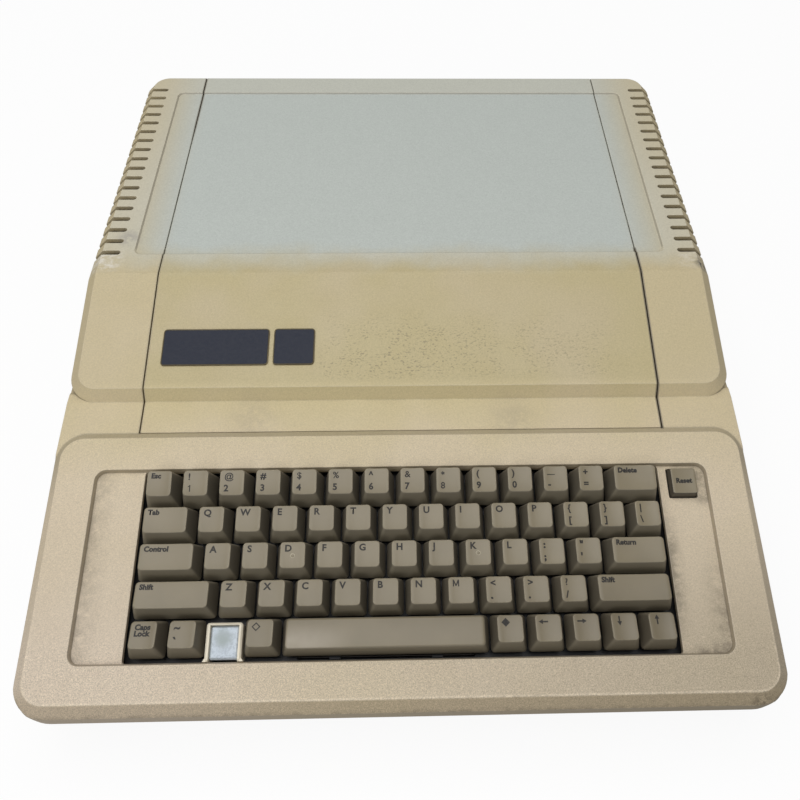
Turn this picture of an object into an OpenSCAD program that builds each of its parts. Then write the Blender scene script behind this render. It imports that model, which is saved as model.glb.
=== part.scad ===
// Vintage home computer: a wedge case with a built-in keyboard and a lift-off lid.
// Millimetres, +Z up, front towards -Y, origin under the middle of the case.

/* [Case] */
// Overall width, measured across the keyboard deck
case_w = 384; // [380:1:392]
// Overall depth, front to back
case_d = 457; // [450:1:470]
// Overall height on its feet
case_h = 114; // [112:1:118]
// Moulded wall thickness
wall = 3; // [2.6:0.1:3.4]
// Bevel along the top edges of the deck and of the rear block
bevel = 6; // [5:0.5:6.5]
// Corner radius of the case, seen from above
corner_r = 17.5; // [13:0.5:18]
// Gap along the seams of the lid
seam = 0.8; // [0.6:0.1:1.2]

/* [Deck and rear block] */
// Slope of the keyboard deck, in degrees
deck_slope = 13.8; // [13:0.1:14.2]
// Height of the deck's front edge
deck_front_z = 55.8; // [54:0.1:57]
// Length of the deck's flat top, up its slope
deck_len = 136; // [134:0.5:137]
// Distance of the rear block's front edge from the front of the case
block_y = 165.5; // [164:0.5:168]
// Distance of the crease between slope and flat top from the front
crease_y = 239; // [236:0.5:242]
// Slope of the front part of the rear block, in degrees
block_slope = 14; // [13.6:0.1:14.4]
// Slope of the valley strip between deck and rear block, in degrees
valley_slope = 10; // [9:0.5:11]

/* [Lid and monitor platform] */
// Half of the lid's width
lid_half_w = 146.2; // [144:0.1:148]
// Half of the width of the sunk monitor platform
platform_half_w = 165; // [163:0.5:166]
// Distance of the platform's front edge from the front of the case
platform_y = 256.7; // [254:0.1:260]
// Length of the platform, front to back
platform_len = 172.5; // [168:0.5:174]
// Depth of the platform below the top
platform_sink = 1; // [0.6:0.1:1.2]

/* [Vents] */
// Number of vent slots on each side
vent_count = 18; // [12:1:18]
// Distance from one vent slot to the next
vent_pitch = 10.37; // [9:0.01:10.4]
// Width of a vent slot
vent_w = 3.6; // [1.5:0.1:4]

/* [Keyboard] */
// Distance from one key to the next
key_pitch = 19.05; // [18.9:0.05:19.1]
// How far a key travels
key_travel = 3.8; // [3:0.1:4]
// Distance of the number row's middle from the deck's front edge, up the slope
number_row_u = 106.5; // [106:0.1:107]
// Side of a single key's skirt
key_base = 18.2; // [17.8:0.1:18.4]
// Side of a single key's top face
key_top = 12.8; // [12:0.1:13.5]

/* [Feet and base] */
// Height of the rubber feet
foot_h = 6; // [5:0.5:7]
// Diameter of the rubber feet
foot_d = 18; // [14:1:20]

/* [Hidden] */
$fn = 48;

case_colour = "#cdbd9b";
inner_case_colour = "#c4b491";
badge_colour = "#3a404c";
key_colour = "#8a8270";
stem_colour = "#e8e4d8";
steel_colour = "#b9bcbe";
plate_colour = "#4a4c4e";
board_colour = "#2f6b45";
socket_colour = "#3a3a3c";
chip_colour = "#2b2b2d";
rubber_colour = "#262626";
brass_colour = "#c9b064";
supply_colour = "#c2a95e";
lamp_colour = "#cfdce8";
cable_colour = "#9aa0a8";

// ---- places worked out from the driving dimensions, y measured from the front of the case ----
front = -case_d / 2;
half_w = case_w / 2;
belly_z = 46;
hem_z = 9;
flare = 2;
overlap = 0.1;
block_half_w = half_w - flare + overlap;
tuck = 4;
deck_t = 16;
edge_lean = 1.2;
deck_y = bevel * (cos(deck_slope) - sin(deck_slope));
deck_full_len = deck_len + 2 * bevel;
lip_z = case_h - (crease_y - block_y) * tan(block_slope);
lip_foot_y = block_y - bevel * (cos(block_slope) - sin(block_slope));
lip_foot_z = lip_z - bevel * (cos(block_slope) + sin(block_slope));
block_rear_y = case_d - flare + overlap;
block_low_z = lip_foot_z - 10;
rear_rim_z = 95.5;
stud_head_d = 6.4;
stud_top_z = case_h - 8;
rim_y = block_rear_y - 8;
chin_run = 0.79;

// a point given up the deck's slope (u) and square to it (h), as [y from the front, z]
function deck_point(u, h) =
    [deck_y + u * cos(deck_slope) - h * sin(deck_slope),
     deck_front_z + u * sin(deck_slope) + h * cos(deck_slope)];
chin_top = deck_point(0.3 - edge_lean - bevel, 1 - deck_t);
function chin_point(z) = [chin_top[0] + (chin_top[1] - z) * chin_run, z];
function valley_point(y) = [y, lip_foot_z + overlap - (lip_foot_y - y) * tan(valley_slope)];
valley_front_y = deck_point(deck_len + bevel - 1, 0)[0];

// ---- general helpers ----
function unit(v) = v / norm(v);
function left_of(v) = [-v[1], v[0]];
function mitre(a, b, c, t) =
    let (n1 = left_of(unit(b - a)), n2 = left_of(unit(c - b)))
    b + t * (n1 + n2) / (1 + n1 * n2);
// an outline, given anticlockwise, moved inwards by t with mitred corners
function inset_outline(p, t) =
    let (n = len(p))
    [for (i = [0 : n - 1]) mitre(p[(i + n - 1) % n], p[i], p[(i + 1) % n], t)];
// how much of a 45 degree bevel is left on a wall's inner side, t inwards
function inner_bevel(t) = bevel - t * (2 - sqrt(2));

module from_front() {
    translate([0, front, 0])
        children();
}

module on_deck(u = 0, h = 0) {
    translate([0, deck_y, deck_front_z])
        rotate([deck_slope, 0, 0])
            translate([0, u, h])
                children();
}

module on_block_slope(u = 0, h = 0) {
    translate([0, block_y, lip_z])
        rotate([block_slope, 0, 0])
            translate([0, u, h])
                children();
}

module both_sides() {
    children();
    mirror([1, 0, 0])
        children();
}

// a side outline, [y, z] points, swept across the case from x1 to x2
module across(x1, x2) {
    translate([x1, 0, 0])
        rotate([90, 0, 90])
            linear_extrude(x2 - x1)
                children();
}

// a box from one corner to the opposite one
module block(low, high) {
    translate(low)
        cube(high - low);
}

// a slab with round corners; `edge` is its edge from the bottom up, as [inwards, height] points
module moulded_slab(w, d, r, edge) {
    low = edge[0][1];
    high = edge[len(edge) - 1][1];
    near = [for (e = edge) [e[0], e[1]]];
    function far(size) = [for (i = [len(edge) - 1 : -1 : 0]) [size - edge[i][0], edge[i][1]]];
    translate([-w / 2, d - r, 0])
        rotate([90, 0, 0])
            linear_extrude(d - 2 * r)
                polygon(concat(near, far(w)));
    across(r - w / 2, w / 2 - r)
        polygon(concat(near, far(d)));
    for (x = [r - w / 2, w / 2 - r], y = [r, d - r])
        translate([x, y, 0])
            rotate_extrude()
                polygon(concat([[0, low]], [for (e = edge) [r - e[0], e[1]]], [[0, high]]));
}

// a slab whose edges lean inwards by `lean` over its height
module leaning_slab(w, d, r, h, lean) {
    moulded_slab(w, d, r, [[0, 0], [lean, h]]);
}

// a slab with its top face at z = 0, a 45 degree bevel round the top and edges that lean out below it
module bevelled_slab(w, d, r, t, b, lean = 0) {
    moulded_slab(w, d, r, [[-lean, -t], [0, -b], [b, 0]]);
}

// ---- the closed form of the housing, moved inwards by t ----
module deck_slab(t) {
    on_deck(t - bevel, -t)
        bevelled_slab(case_w - 2 * t, deck_full_len - 2 * t, corner_r - t, deck_t - t, inner_bevel(t),
                      edge_lean);
}

module rear_block(t) {
    slope_reach = 340;
    start_y = 60;
    width = 2 * (block_half_w - t);
    intersection() {
        translate([0, start_y + t, case_h - t])
            bevelled_slab(width, block_rear_y - start_y - 2 * t, corner_r - 1 - t,
                          case_h - block_low_z, inner_bevel(t));
        on_block_slope(t - bevel, -t)
            bevelled_slab(width, slope_reach, corner_r - 1 - t, 90, inner_bevel(t));
    }
}

// the body below the two slabs: a chin under the deck's nose, and the valley between them
module body_prism(t, low_z) {
    inside = t + 0.15;
    reach_down = 240;
    intersection() {
        across(-half_w - 5, half_w + 5)
            polygon(inset_outline([
                chin_point(low_z), [case_d + 20, low_z], [case_d + 20, lip_foot_z - 1],
                [lip_foot_y + 8, lip_foot_z - 1], valley_point(lip_foot_y + 4), valley_point(130),
                deck_point(110, -bevel - 3), deck_point(2 - bevel, -bevel - 3), chin_top
            ], t));
        on_deck(inside - edge_lean - bevel, 0)
            moulded_slab(case_w - 2 * inside, case_d + 60, corner_r - inside, [[0, -reach_down], [0, 30]]);
    }
}

// sides and rear lean outwards down to the belly line, and tuck in below it
module leaning_walls(t, low_z) {
    tuck_run = tuck * (belly_z - low_z) / (belly_z - hem_z);
    start_y = 40;
    translate([0, t - start_y, 0])
        moulded_slab(case_w - 2 * t, case_d + start_y - 2 * t, corner_r + 1 - t,
                     [[tuck_run, low_z], [0, belly_z], [flare, lip_foot_z]]);
}

module case_form(t) {
    low_z = t > 0 ? hem_z - 12 : hem_z;
    intersection() {
        union() {
            deck_slab(t);
            body_prism(t, low_z - (t > 0 ? 4 : 0));
        }
        leaning_walls(t, low_z);
    }
    rear_block(t);
}

// the case's middle section, as a side outline moved inwards by t
function side_outline(t) = inset_outline([
    chin_point(hem_z), [case_d - tuck, hem_z], [case_d, belly_z], [block_rear_y, lip_foot_z],
    [block_rear_y, case_h - bevel], [block_rear_y - bevel, case_h], [crease_y, case_h],
    [block_y, lip_z], [lip_foot_y, lip_foot_z], valley_point(valley_front_y),
    deck_point(deck_len, 0), deck_point(0, 0), deck_point(-bevel, -bevel), chin_top
], t);

// what the lid closes: everything behind the foot of the deck's rear bevel and above the rear rim
module lid_opening(clearance) {
    front_u = deck_len + 4.3 + clearance * 0.45;
    across(clearance - lid_half_w - seam, lid_half_w + seam - clearance)
        polygon([
            deck_point(front_u, -40), [rim_y, 40], [rim_y, rear_rim_z + clearance],
            [case_d + 20, rear_rim_z + clearance], [case_d + 20, case_h + 40],
            deck_point(front_u, 60)
        ]);
}

// ---- keyboard layout: widths in key units, left end of each row at the same x ----
row_units = 14.5;
row_left = -row_units * key_pitch / 2;
function key_x(from_unit, units) = row_left + (from_unit + units / 2) * key_pitch;
reset_row = 5;
reset_u = 107.1;
function row_u(row) = row == reset_row ? reset_u : number_row_u - row * key_pitch;
// heights of a key's top face over the deck, at its front and at its rear edge, row by row;
// the reset key, last, stands low and steep in a hole of its own
front_rise = [8.4, 6.9, 6.6, 7.1, 6.9, 2.4];
rear_rise = [9.6, 7.1, 6.4, 5.8, 4.9, 2.4];
reset_base = [15.1, 16];
reset_top = [13.4, 14.1];
reset_gap = 0.3;
skirt_h = -6;
plate_h = -14;
plate_t = 1.5;
switch_top_h = -10.6;
stem_tip_h = -13;
recess_front_u = 17.6;
recess_rear_u = 118;
recess_half_w = 166;
recess_sink = 2.6;
cutout_half_w = 139.7;
lamp_unit = 2;
board_h = -23;

// every key: [row, first unit, width in units]
function run_of_keys(row, first, count) = [for (i = [0 : count - 1]) [row, first + i, 1]];
number_row = concat(run_of_keys(0, 0, 13), [[0, 13, 1.5]]);
top_row = concat([[1, 0, 1.5]], run_of_keys(1, 1.5, 13));
home_row = concat([[2, 0, 1.75]], run_of_keys(2, 1.75, 11), [[2, 12.75, 1.75]]);
shift_row = concat([[3, 0, 2.25]], run_of_keys(3, 2.25, 10), [[3, 12.25, 2.25]]);
space_row = concat(run_of_keys(4, 0, 2), run_of_keys(4, 3, 1), [[4, 4, 5.5]], run_of_keys(4, 9.5, 5));
reset_key = [reset_row, 14.73, 1];
all_keys = concat(number_row, top_row, home_row, shift_row, space_row, [reset_key]);

// ---- key caps ----
corner_steps = 2;
// a rounded rectangle as a ring of points; its height changes by `tilt` per mm from front to rear
function key_ring(w, d, r, shift, h, tilt) = [
    for (corner = [0 : 3], step = [0 : corner_steps])
        let (
            a = 90 * corner + 90 * step / corner_steps,
            cx = (corner == 0 || corner == 3 ? 1 : -1) * (w / 2 - r),
            cy = (corner < 2 ? 1 : -1) * (d / 2 - r),
            y = cy + r * sin(a)
        )
        [cx + r * cos(a), y + shift, h + tilt * y]
];

// a solid through two rings of points, the lower one first
module loft(low, high) {
    n = len(low);
    polyhedron(
        points = concat(low, high),
        faces = concat(
            [[for (i = [0 : n - 1]) i]],
            [[for (i = [n - 1 : -1 : 0]) n + i]],
            [for (i = [0 : n - 1]) [i, n + i, (i + 1) % n]],
            [for (i = [0 : n - 1]) [(i + 1) % n, n + i, n + (i + 1) % n]]
        )
    );
}

module key_cap(key) {
    row = key[0];
    units = key[2];
    is_reset = row == reset_row;
    base_w = is_reset ? reset_base[0] : units * key_pitch - (key_pitch - key_base);
    base_d = is_reset ? reset_base[1] : key_base;
    top_w = is_reset ? reset_top[0] : base_w - (key_base - key_top);
    top_d = is_reset ? reset_top[1] : 13.4;
    top_shift = is_reset ? 0 : 0.75;
    rise = (front_rise[row] + rear_rise[row]) / 2;
    tilt = (rear_rise[row] - front_rise[row]) / top_d;
    skin = 1.4;
    dish = is_reset ? 0.3 : 0.6;
    dish_r = (top_w * top_w / 4 + dish * dish) / (2 * dish);
    is_bar = units > 3;
    color(key_colour)
        difference() {
            loft(key_ring(base_w, base_d, 1.2, 0, skirt_h, 0),
                 key_ring(top_w, top_d, 2.2, top_shift, rise, tilt));
            loft(key_ring(base_w - 2 * skin, base_d - 2 * skin, 0.8, 0, skirt_h - 0.02, 0),
                 key_ring(top_w - 2 * skin + 1.2, top_d - 2 * skin + 1.2, 1.6, top_shift, rise - 2.2, tilt));
            if (!is_bar)
                translate([0, top_shift, rise + dish_r - dish])
                    rotate([atan(tilt) + 90, 0, 0])
                        cylinder(r = dish_r, h = 40, center = true, $fn = 96);
        }
    color(stem_colour)
        translate([-2, -2, stem_tip_h])
            cube([4, 4, rise - 1.8 - stem_tip_h]);
}

module place_key(key) {
    from_front()
        on_deck(row_u(key[0]), 0)
            translate([key_x(key[1], key[2]), 0, 0])
                children();
}

module key_bank(keys) {
    for (key = keys)
        place_key(key)
            key_cap(key);
}

// the raised dot that a middle finger finds
module home_dot(key) {
    color(key_colour)
        place_key(key)
            translate([0, 0.4, front_rise[key[0]] - 1.5])
                cylinder(d = 1.8, h = 1.1);
}

module key_esc() { key_bank([number_row[0]]); }
module keys_1_to_4() { key_bank([for (i = [1 : 4]) number_row[i]]); }
module keys_5_to_8() { key_bank([for (i = [5 : 8]) number_row[i]]); }
module keys_9_to_equals() { key_bank([for (i = [9 : 12]) number_row[i]]); }
module key_delete() { key_bank([number_row[13]]); }
module key_tab() { key_bank([top_row[0]]); }
module keys_q_to_r() { key_bank([for (i = [1 : 4]) top_row[i]]); }
module keys_t_to_i() { key_bank([for (i = [5 : 8]) top_row[i]]); }
module keys_o_to_bracket() { key_bank([for (i = [9 : 12]) top_row[i]]); }
module key_backslash() { key_bank([top_row[13]]); }
module key_control() { key_bank([home_row[0]]); }
module keys_a_to_f() {
    key_bank([for (i = [1 : 4]) home_row[i]]);
    home_dot(home_row[3]);
}
module keys_g_to_k() {
    key_bank([for (i = [5 : 8]) home_row[i]]);
    home_dot(home_row[8]);
}
module keys_l_to_quote() { key_bank([for (i = [9 : 11]) home_row[i]]); }
module key_return() { key_bank([home_row[12]]); }
module key_left_shift() { key_bank([shift_row[0]]); }
module keys_z_to_v() { key_bank([for (i = [1 : 4]) shift_row[i]]); }
module keys_b_to_comma() { key_bank([for (i = [5 : 8]) shift_row[i]]); }
module keys_period_slash() { key_bank([for (i = [9 : 10]) shift_row[i]]); }
module key_right_shift() { key_bank([shift_row[11]]); }
module key_caps_lock() { key_bank([space_row[0]]); }
module key_grave() { key_bank([space_row[1]]); }
module key_left_function() { key_bank([space_row[2]]); }
module key_right_function() { key_bank([space_row[4]]); }
module key_left_arrow() { key_bank([space_row[5]]); }
module key_right_arrow() { key_bank([space_row[6]]); }
module key_down_arrow() { key_bank([space_row[7]]); }
module key_up_arrow() { key_bank([space_row[8]]); }
module key_reset() { key_bank([reset_key]); }

// the space bar carries two hooks under its ends, one for each arm of its wire
hook_x = 40;
wire_d = 1.8;
wire_pivot_v = -9;
wire_pivot_h = -12.4;
wire_tip_v = 5.2;
wire_tip_h = -8.2;
module space_bar() {
    bar = space_row[3];
    key_bank([bar]);
    color(stem_colour)
        place_key(bar)
            for (side = [-1, 1])
                translate([side * hook_x - 1.5, wire_tip_v - 3.4, wire_tip_h - 1.3])
                    difference() {
                        cube([3, 6.4, 12]);
                        translate([-1, 0.6, 0.2])
                            cube([5, 5.2, 2.3]);
                    }
}

module space_bar_wire() {
    arm = [wire_tip_v - wire_pivot_v, wire_tip_h - wire_pivot_h];
    arm_x = hook_x + 4;
    arm_d = wire_d - 0.1;
    bend_d = wire_d + 0.5;
    tip_len = 5.4;
    color(steel_colour)
        place_key(space_row[3]) {
            translate([-arm_x, wire_pivot_v, wire_pivot_h])
                rotate([0, 90, 0])
                    cylinder(d = wire_d, h = 2 * arm_x);
            for (side = [-1, 1])
                translate([side * arm_x, 0, 0]) {
                    for (end = [[wire_pivot_v, wire_pivot_h], [wire_tip_v, wire_tip_h]])
                        translate([0, end[0], end[1]])
                            sphere(d = bend_d);
                    translate([0, wire_pivot_v, wire_pivot_h])
                        rotate([-90 + atan2(arm[1], arm[0]), 0, 0])
                            cylinder(d = arm_d, h = norm(arm));
                    translate([side > 0 ? -tip_len : 0, wire_tip_v, wire_tip_h])
                        rotate([0, 90, 0])
                            cylinder(d = wire_d, h = tip_len);
                }
        }
}

// ---- housing ----
module vent_slots() {
    inner_x = platform_half_w + 9.8;
    first_y = 257.2;
    low_z = 94;
    both_sides()
        for (i = [0 : vent_count - 1])
            translate([inner_x, first_y + i * vent_pitch, low_z]) {
                cylinder(d = vent_w, h = case_h - low_z + 5);
                block([0, -vent_w / 2, 0], [half_w, vent_w / 2, case_h - low_z + 5]);
            }
}

module platform_sink_cut() {
    rim = 1.2;
    translate([0, platform_y, case_h - platform_sink])
        leaning_slab(2 * platform_half_w - 2 * rim, platform_len, 3.2, platform_sink + 0.01, -rim);
}

module keyboard_recess() {
    rim = 1;
    depth = recess_rear_u - recess_front_u;
    on_deck(recess_front_u + rim, -recess_sink)
        leaning_slab(2 * (recess_half_w - rim), depth - 2 * rim, 5, recess_sink + 0.01, -rim);
}

module keyboard_cutouts() {
    corner = 1.6;
    cut_h = 35;
    on_deck(recess_front_u + 1, -30)
        leaning_slab(2 * cutout_half_w, recess_rear_u - recess_front_u - 2, corner, cut_h, 0);
    on_deck(reset_u - reset_base[1] / 2 - reset_gap, -30)
        translate([key_x(reset_key[1], 1), 0, 0])
            leaning_slab(reset_base[0] + 2 * reset_gap, reset_base[1] + 2 * reset_gap, 1, cut_h, 0);
}

rear_opening_half_w = 178;
rear_opening_z = [0, 86];
module rear_opening() {
    block([-rear_opening_half_w, case_d - 20, rear_opening_z[0]],
          [rear_opening_half_w, case_d + 10, rear_opening_z[1]]);
}

// ledges inside the seams, on which the lid's edges lie; past the seam they run into the skin
module lid_ledges() {
    ledge_t = 2.5;
    reach = 5;
    root = 8;
    both_sides()
        intersection() {
            difference() {
                union() {
                    across(lid_half_w - reach, lid_half_w + root)
                        polygon(side_outline(wall));
                    across(lid_half_w + seam + overlap, lid_half_w + root)
                        polygon(side_outline(wall - 0.5));
                }
                across(lid_half_w - reach - 1, lid_half_w + root + 1)
                    polygon(side_outline(wall + ledge_t));
                block([0, lip_foot_y + 1.6, 60], [lid_half_w + seam, lip_foot_y + 4, case_h]);
            }
            block([0, lip_foot_y - 12, 60], [half_w, rim_y - 2, case_h]);
        }
}

boss_points = [[-178, 70], [178, 70], [-178, 200], [178, 200], [-178, 400], [178, 400]];
boss_low_z = 8.4;
boss_h = 22;
module screw_bosses() {
    web = 9;
    for (p = boss_points)
        translate([p[0], p[1], boss_low_z])
            difference() {
                union() {
                    cylinder(d = 8, h = boss_h);
                    block([p[0] > 0 ? 0 : -web, -1, 0], [p[0] > 0 ? web : 0, 1, boss_h]);
                }
                translate([0, 0, -1])
                    cylinder(d = 2.6, h = 16);
            }
}

plate_posts = [[-160, 30], [-160, 108], [160, 30], [165.5, 122], [0, 124]];
module keyboard_posts() {
    for (p = plate_posts)
        on_deck(p[1], plate_h)
            translate([p[0], 0, 0])
                difference() {
                    cylinder(d = 7, h = -plate_h - wall + 0.5);
                    translate([0, 0, -1])
                        cylinder(d = 2.6, h = 8);
                }
}

// two brackets on the rear rim, each with a hole for one of the lid's studs
catch_x = 110;
catch_y = rim_y - 11;
module catch_brackets() {
    bracket_t = 3;
    reach = 9;
    for (x = [-catch_x, catch_x])
        difference() {
            block([x - reach, catch_y - reach, rear_rim_z - 2 * bracket_t],
                  [x + reach, block_rear_y - 1, rear_rim_z - bracket_t]);
            translate([x, catch_y, rear_rim_z - 20])
                cylinder(d = stud_head_d + 0.8, h = 40);
        }
}

module closed_shell() {
    margin = 2;
    difference() {
        case_form(0);
        case_form(wall);
    }
    on_deck(0, -recess_sink - wall)
        block([-recess_half_w - margin, recess_front_u - margin, 0],
              [recess_half_w + margin, recess_rear_u + margin, wall]);
}

module upper_case() {
    color(case_colour)
        from_front()
            difference() {
                union() {
                    difference() {
                        closed_shell();
                        lid_opening(0);
                    }
                    lid_ledges();
                    catch_brackets();
                    screw_bosses();
                    keyboard_posts();
                }
                keyboard_recess();
                keyboard_cutouts();
                platform_sink_cut();
                vent_slots();
                rear_opening();
            }
}

lid_wall = 2.7;
module lid() {
    skirt_t = 2;
    skirt_drop = 9;
    skirt_x = lid_half_w - 8;
    stud_pad = 6;
    color(case_colour)
        from_front()
            difference() {
                union() {
                    difference() {
                        intersection() {
                            case_form(0);
                            lid_opening(seam);
                        }
                        case_form(lid_wall);
                    }
                    both_sides()
                        intersection() {
                            difference() {
                                across(skirt_x - skirt_t, skirt_x)
                                    polygon(side_outline(lid_wall - 0.5));
                                translate([0, 0, -skirt_drop])
                                    across(skirt_x - skirt_t - 1, skirt_x + 1)
                                        polygon(side_outline(lid_wall));
                            }
                            block([0, lip_foot_y + 2, 60], [half_w, rim_y - 6, case_h]);
                        }
                    for (x = [-catch_x, catch_x])
                        block([x - stud_pad, catch_y - stud_pad, stud_top_z],
                              [x + stud_pad, catch_y + stud_pad, case_h - 2]);
                }
                platform_sink_cut();
            }
}

// two push-in studs that hold the rear of the lid down
module lid_catches() {
    color(stem_colour)
        from_front()
            for (x = [-catch_x, catch_x])
                translate([x, catch_y, 0]) {
                    translate([0, 0, stud_top_z - 16])
                        cylinder(d = 5, h = 16);
                    translate([0, 0, stud_top_z - 19])
                        cylinder(d1 = 3.4, d2 = stud_head_d, h = 3);
                }
}

// a shallow plate with round corners lying on the rear block's slope
module badge(x1, x2) {
    badge_low = 13.6;
    badge_high = 36.9;
    on_block_slope(badge_low, 0)
        translate([(x1 + x2) / 2, 0, 0])
            leaning_slab(x2 - x1, badge_high - badge_low, 2, 0.8, 0.3);
}

module name_plate() {
    color(badge_colour)
        from_front()
            badge(-138.5, -77.3);
}

module model_plate() {
    color(badge_colour)
        from_front()
            badge(-74.6, -50.9);
}

// ---- base, feet and rear ----
base_t = 1.6;
base_low_z = foot_h;
base_front_y = 32;
base_rear_y = 449;
base_half_w = 183;
flange_h = 14;
module base_plate() {
    color(steel_colour)
        from_front()
            difference() {
                union() {
                    block([-base_half_w, base_front_y, base_low_z],
                          [base_half_w, base_rear_y, base_low_z + base_t]);
                    both_sides()
                        block([base_half_w - base_t, base_front_y, base_low_z],
                              [base_half_w, base_rear_y - 4, base_low_z + flange_h]);
                    block([-base_half_w, base_front_y, base_low_z],
                          [base_half_w, base_front_y + base_t, base_low_z + flange_h]);
                }
                for (p = boss_points) {
                    translate([p[0], p[1], 0])
                        cylinder(d = 3.6, h = 20);
                    block([p[0] - 12, p[1] - 3, base_low_z + base_t], [p[0] + 12, p[1] + 3, 40]);
                }
                for (x = [-60 : 12 : 120])
                    block([x, 120, 0], [x + 4, 155, 20]);
            }
}

foot_points = [[-160, 60], [160, 60], [-160, 425], [160, 425]];
module feet() {
    color(rubber_colour)
        from_front()
            for (p = foot_points)
                translate([p[0], p[1], 0]) {
                    cylinder(d1 = foot_d - 2, d2 = foot_d, h = 1);
                    translate([0, 0, 1])
                        cylinder(d = foot_d, h = foot_h - 1);
                }
}

module case_screws() {
    color(steel_colour)
        from_front()
            for (p = boss_points)
                translate([p[0], p[1], 0]) {
                    translate([0, 0, base_low_z - 2])
                        cylinder(d = 6, h = 2);
                    translate([0, 0, base_low_z - 1])
                        cylinder(d = 2.4, h = 13);
                }
}

panel_y = 448;
panel_t = 1.2;
panel_x = [-86, 177];
panel_z = [base_low_z + base_t, 84];
port_rows = [38, 56, 74];
wide_port = [44, 12];
narrow_port = [24, 12];
// connector places in the rear panel, as [middle x, middle z, width, height]
ports = concat(
    [for (x = [-54, 0, 54, 108], z = [port_rows[1], port_rows[2]]) [x, z, wide_port[0], wide_port[1]]],
    [for (x = [-64, -32, 0, 32]) [x, port_rows[0], narrow_port[0], narrow_port[1]]]
);
video_x = 92;
cassette_x = [112, 126];
game_x = 152;
jack_z = 27;
module rear_panel() {
    color(steel_colour)
        from_front()
            difference() {
                union() {
                    block([panel_x[0], panel_y, panel_z[0]], [panel_x[1], panel_y + panel_t, panel_z[1]]);
                    block([panel_x[0], panel_y - 8, panel_z[0]],
                          [panel_x[1], panel_y + panel_t, panel_z[0] + panel_t]);
                }
                for (p = ports)
                    block([p[0] - p[2] / 2, panel_y - 1, p[1] - p[3] / 2],
                          [p[0] + p[2] / 2, panel_y + 5, p[1] + p[3] / 2]);
                block([video_x - 6, panel_y - 1, jack_z - 6], [cassette_x[1] + 6, panel_y + 5, jack_z + 6]);
                block([game_x - 9.2, panel_y - 1, jack_z - 4.8], [game_x + 9.2, panel_y + 5, jack_z + 4.8]);
            }
}

module blanking_covers() {
    lip = 1.4;
    color(inner_case_colour)
        from_front()
            for (p = ports)
                translate([p[0], panel_y + panel_t, p[1]]) {
                    block([-p[2] / 2 - lip, 0, -p[3] / 2 - lip], [p[2] / 2 + lip, 1.4, p[3] / 2 + lip]);
                    block([-p[2] / 2 + 0.2, -4, -p[3] / 2 + 0.2], [p[2] / 2 - 0.2, 0.2, p[3] / 2 - 0.2]);
                }
}

supply_low = [-171, 196, base_low_z + base_t];
supply_high = [-87, 449.2, 72];
supply_wall = 1.2;
rocker_place = [-150, 50];
inlet_place = [-112, 50];
module power_supply_case() {
    color(supply_colour)
        from_front()
            difference() {
                union() {
                    difference() {
                        block(supply_low, supply_high);
                        block(supply_low + [supply_wall, supply_wall, -1],
                              supply_high - supply_wall * [1, 1, 1]);
                    }
                    for (y = [230 : 14 : 400])
                        translate([supply_low[0] + 20, y, supply_high[2] - 0.5])
                            rotate([90, 0, 90])
                                linear_extrude(50)
                                    polygon([[0, 0], [6, 0], [6, 2.5]]);
                }
                block([rocker_place[0] - 6.6, supply_high[1] - 5, rocker_place[1] - 10.6],
                      [rocker_place[0] + 6.6, supply_high[1] + 5, rocker_place[1] + 10.6]);
                block([inlet_place[0] - 13.8, supply_high[1] - 5, inlet_place[1] - 10.2],
                      [inlet_place[0] + 13.8, supply_high[1] + 5, inlet_place[1] + 10.2]);
            }
}

module mains_inlet() {
    color(socket_colour)
        from_front()
            translate([inlet_place[0], supply_high[1], inlet_place[1]]) {
                difference() {
                    union() {
                        block([-16, 0, -12.4], [16, 2, 12.4]);
                        block([-13.6, -22, -10], [13.6, 0.5, 10]);
                    }
                    block([-12, -17, -8.2], [12, 5, 8.2]);
                }
                for (x = [-7, 0, 7])
                    block([x - 1, -20, x == 0 ? -4 : -1], [x + 1, -6, x == 0 ? 0 : 3]);
            }
}

// a rocker in its off position, tilted about its own hinge pin
rocker_throw = 14;
rocker_axis_y = supply_high[1] - 3;
module power_switch() {
    half_w = 5.7;
    half_h = 9.6;
    color(chip_colour)
        from_front()
            translate([rocker_place[0], rocker_axis_y, rocker_place[1]])
                rotate([-rocker_throw / 2, 0, 0]) {
                    across(-half_w, half_w)
                        polygon([[-4, -half_h + 2], [-1, -half_h], [3.4, -half_h], [1.9, 0],
                                 [3.4, half_h], [-1, half_h], [-4, half_h - 2]]);
                    translate([-half_w - 0.8, 0, 0])
                        rotate([0, 90, 0])
                            cylinder(d = 2, h = 2 * half_w + 1.6);
                }
}

// ---- boards ----
board_low = [-84, 178, 15];
board_high = [173, 440, 16.6];
standoff_points = [[-76, 186], [168, 186], [-76, 310], [168, 310], [-76, 432], [168, 432]];
module motherboard() {
    color(board_colour)
        from_front()
            difference() {
                block(board_low, board_high);
                for (p = standoff_points)
                    translate([p[0], p[1], 0])
                        cylinder(d = 3.4, h = 30);
            }
}

module board_standoffs() {
    color(stem_colour)
        from_front()
            for (p = standoff_points)
                translate([p[0], p[1], base_low_z + base_t]) {
                    cylinder(d = 6, h = board_low[2] - base_low_z - base_t);
                    cylinder(d = 3.2, h = board_high[2] - base_low_z - base_t + 2);
                    translate([0, 0, board_high[2] - base_low_z - base_t])
                        cylinder(d1 = 4.8, d2 = 3.2, h = 2.4);
                }
}

slot_pitch = 20.3;
slot_first_x = -58;
slot_size = [9, 64, 14];
slot_y = 352;
module edge_socket(size) {
    difference() {
        translate([0, 0, size[2] / 2])
            cube(size, center = true);
        translate([0, 0, size[2]])
            cube([1.8, size[1] - 6, 2 * size[2] - 6], center = true);
    }
}

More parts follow.
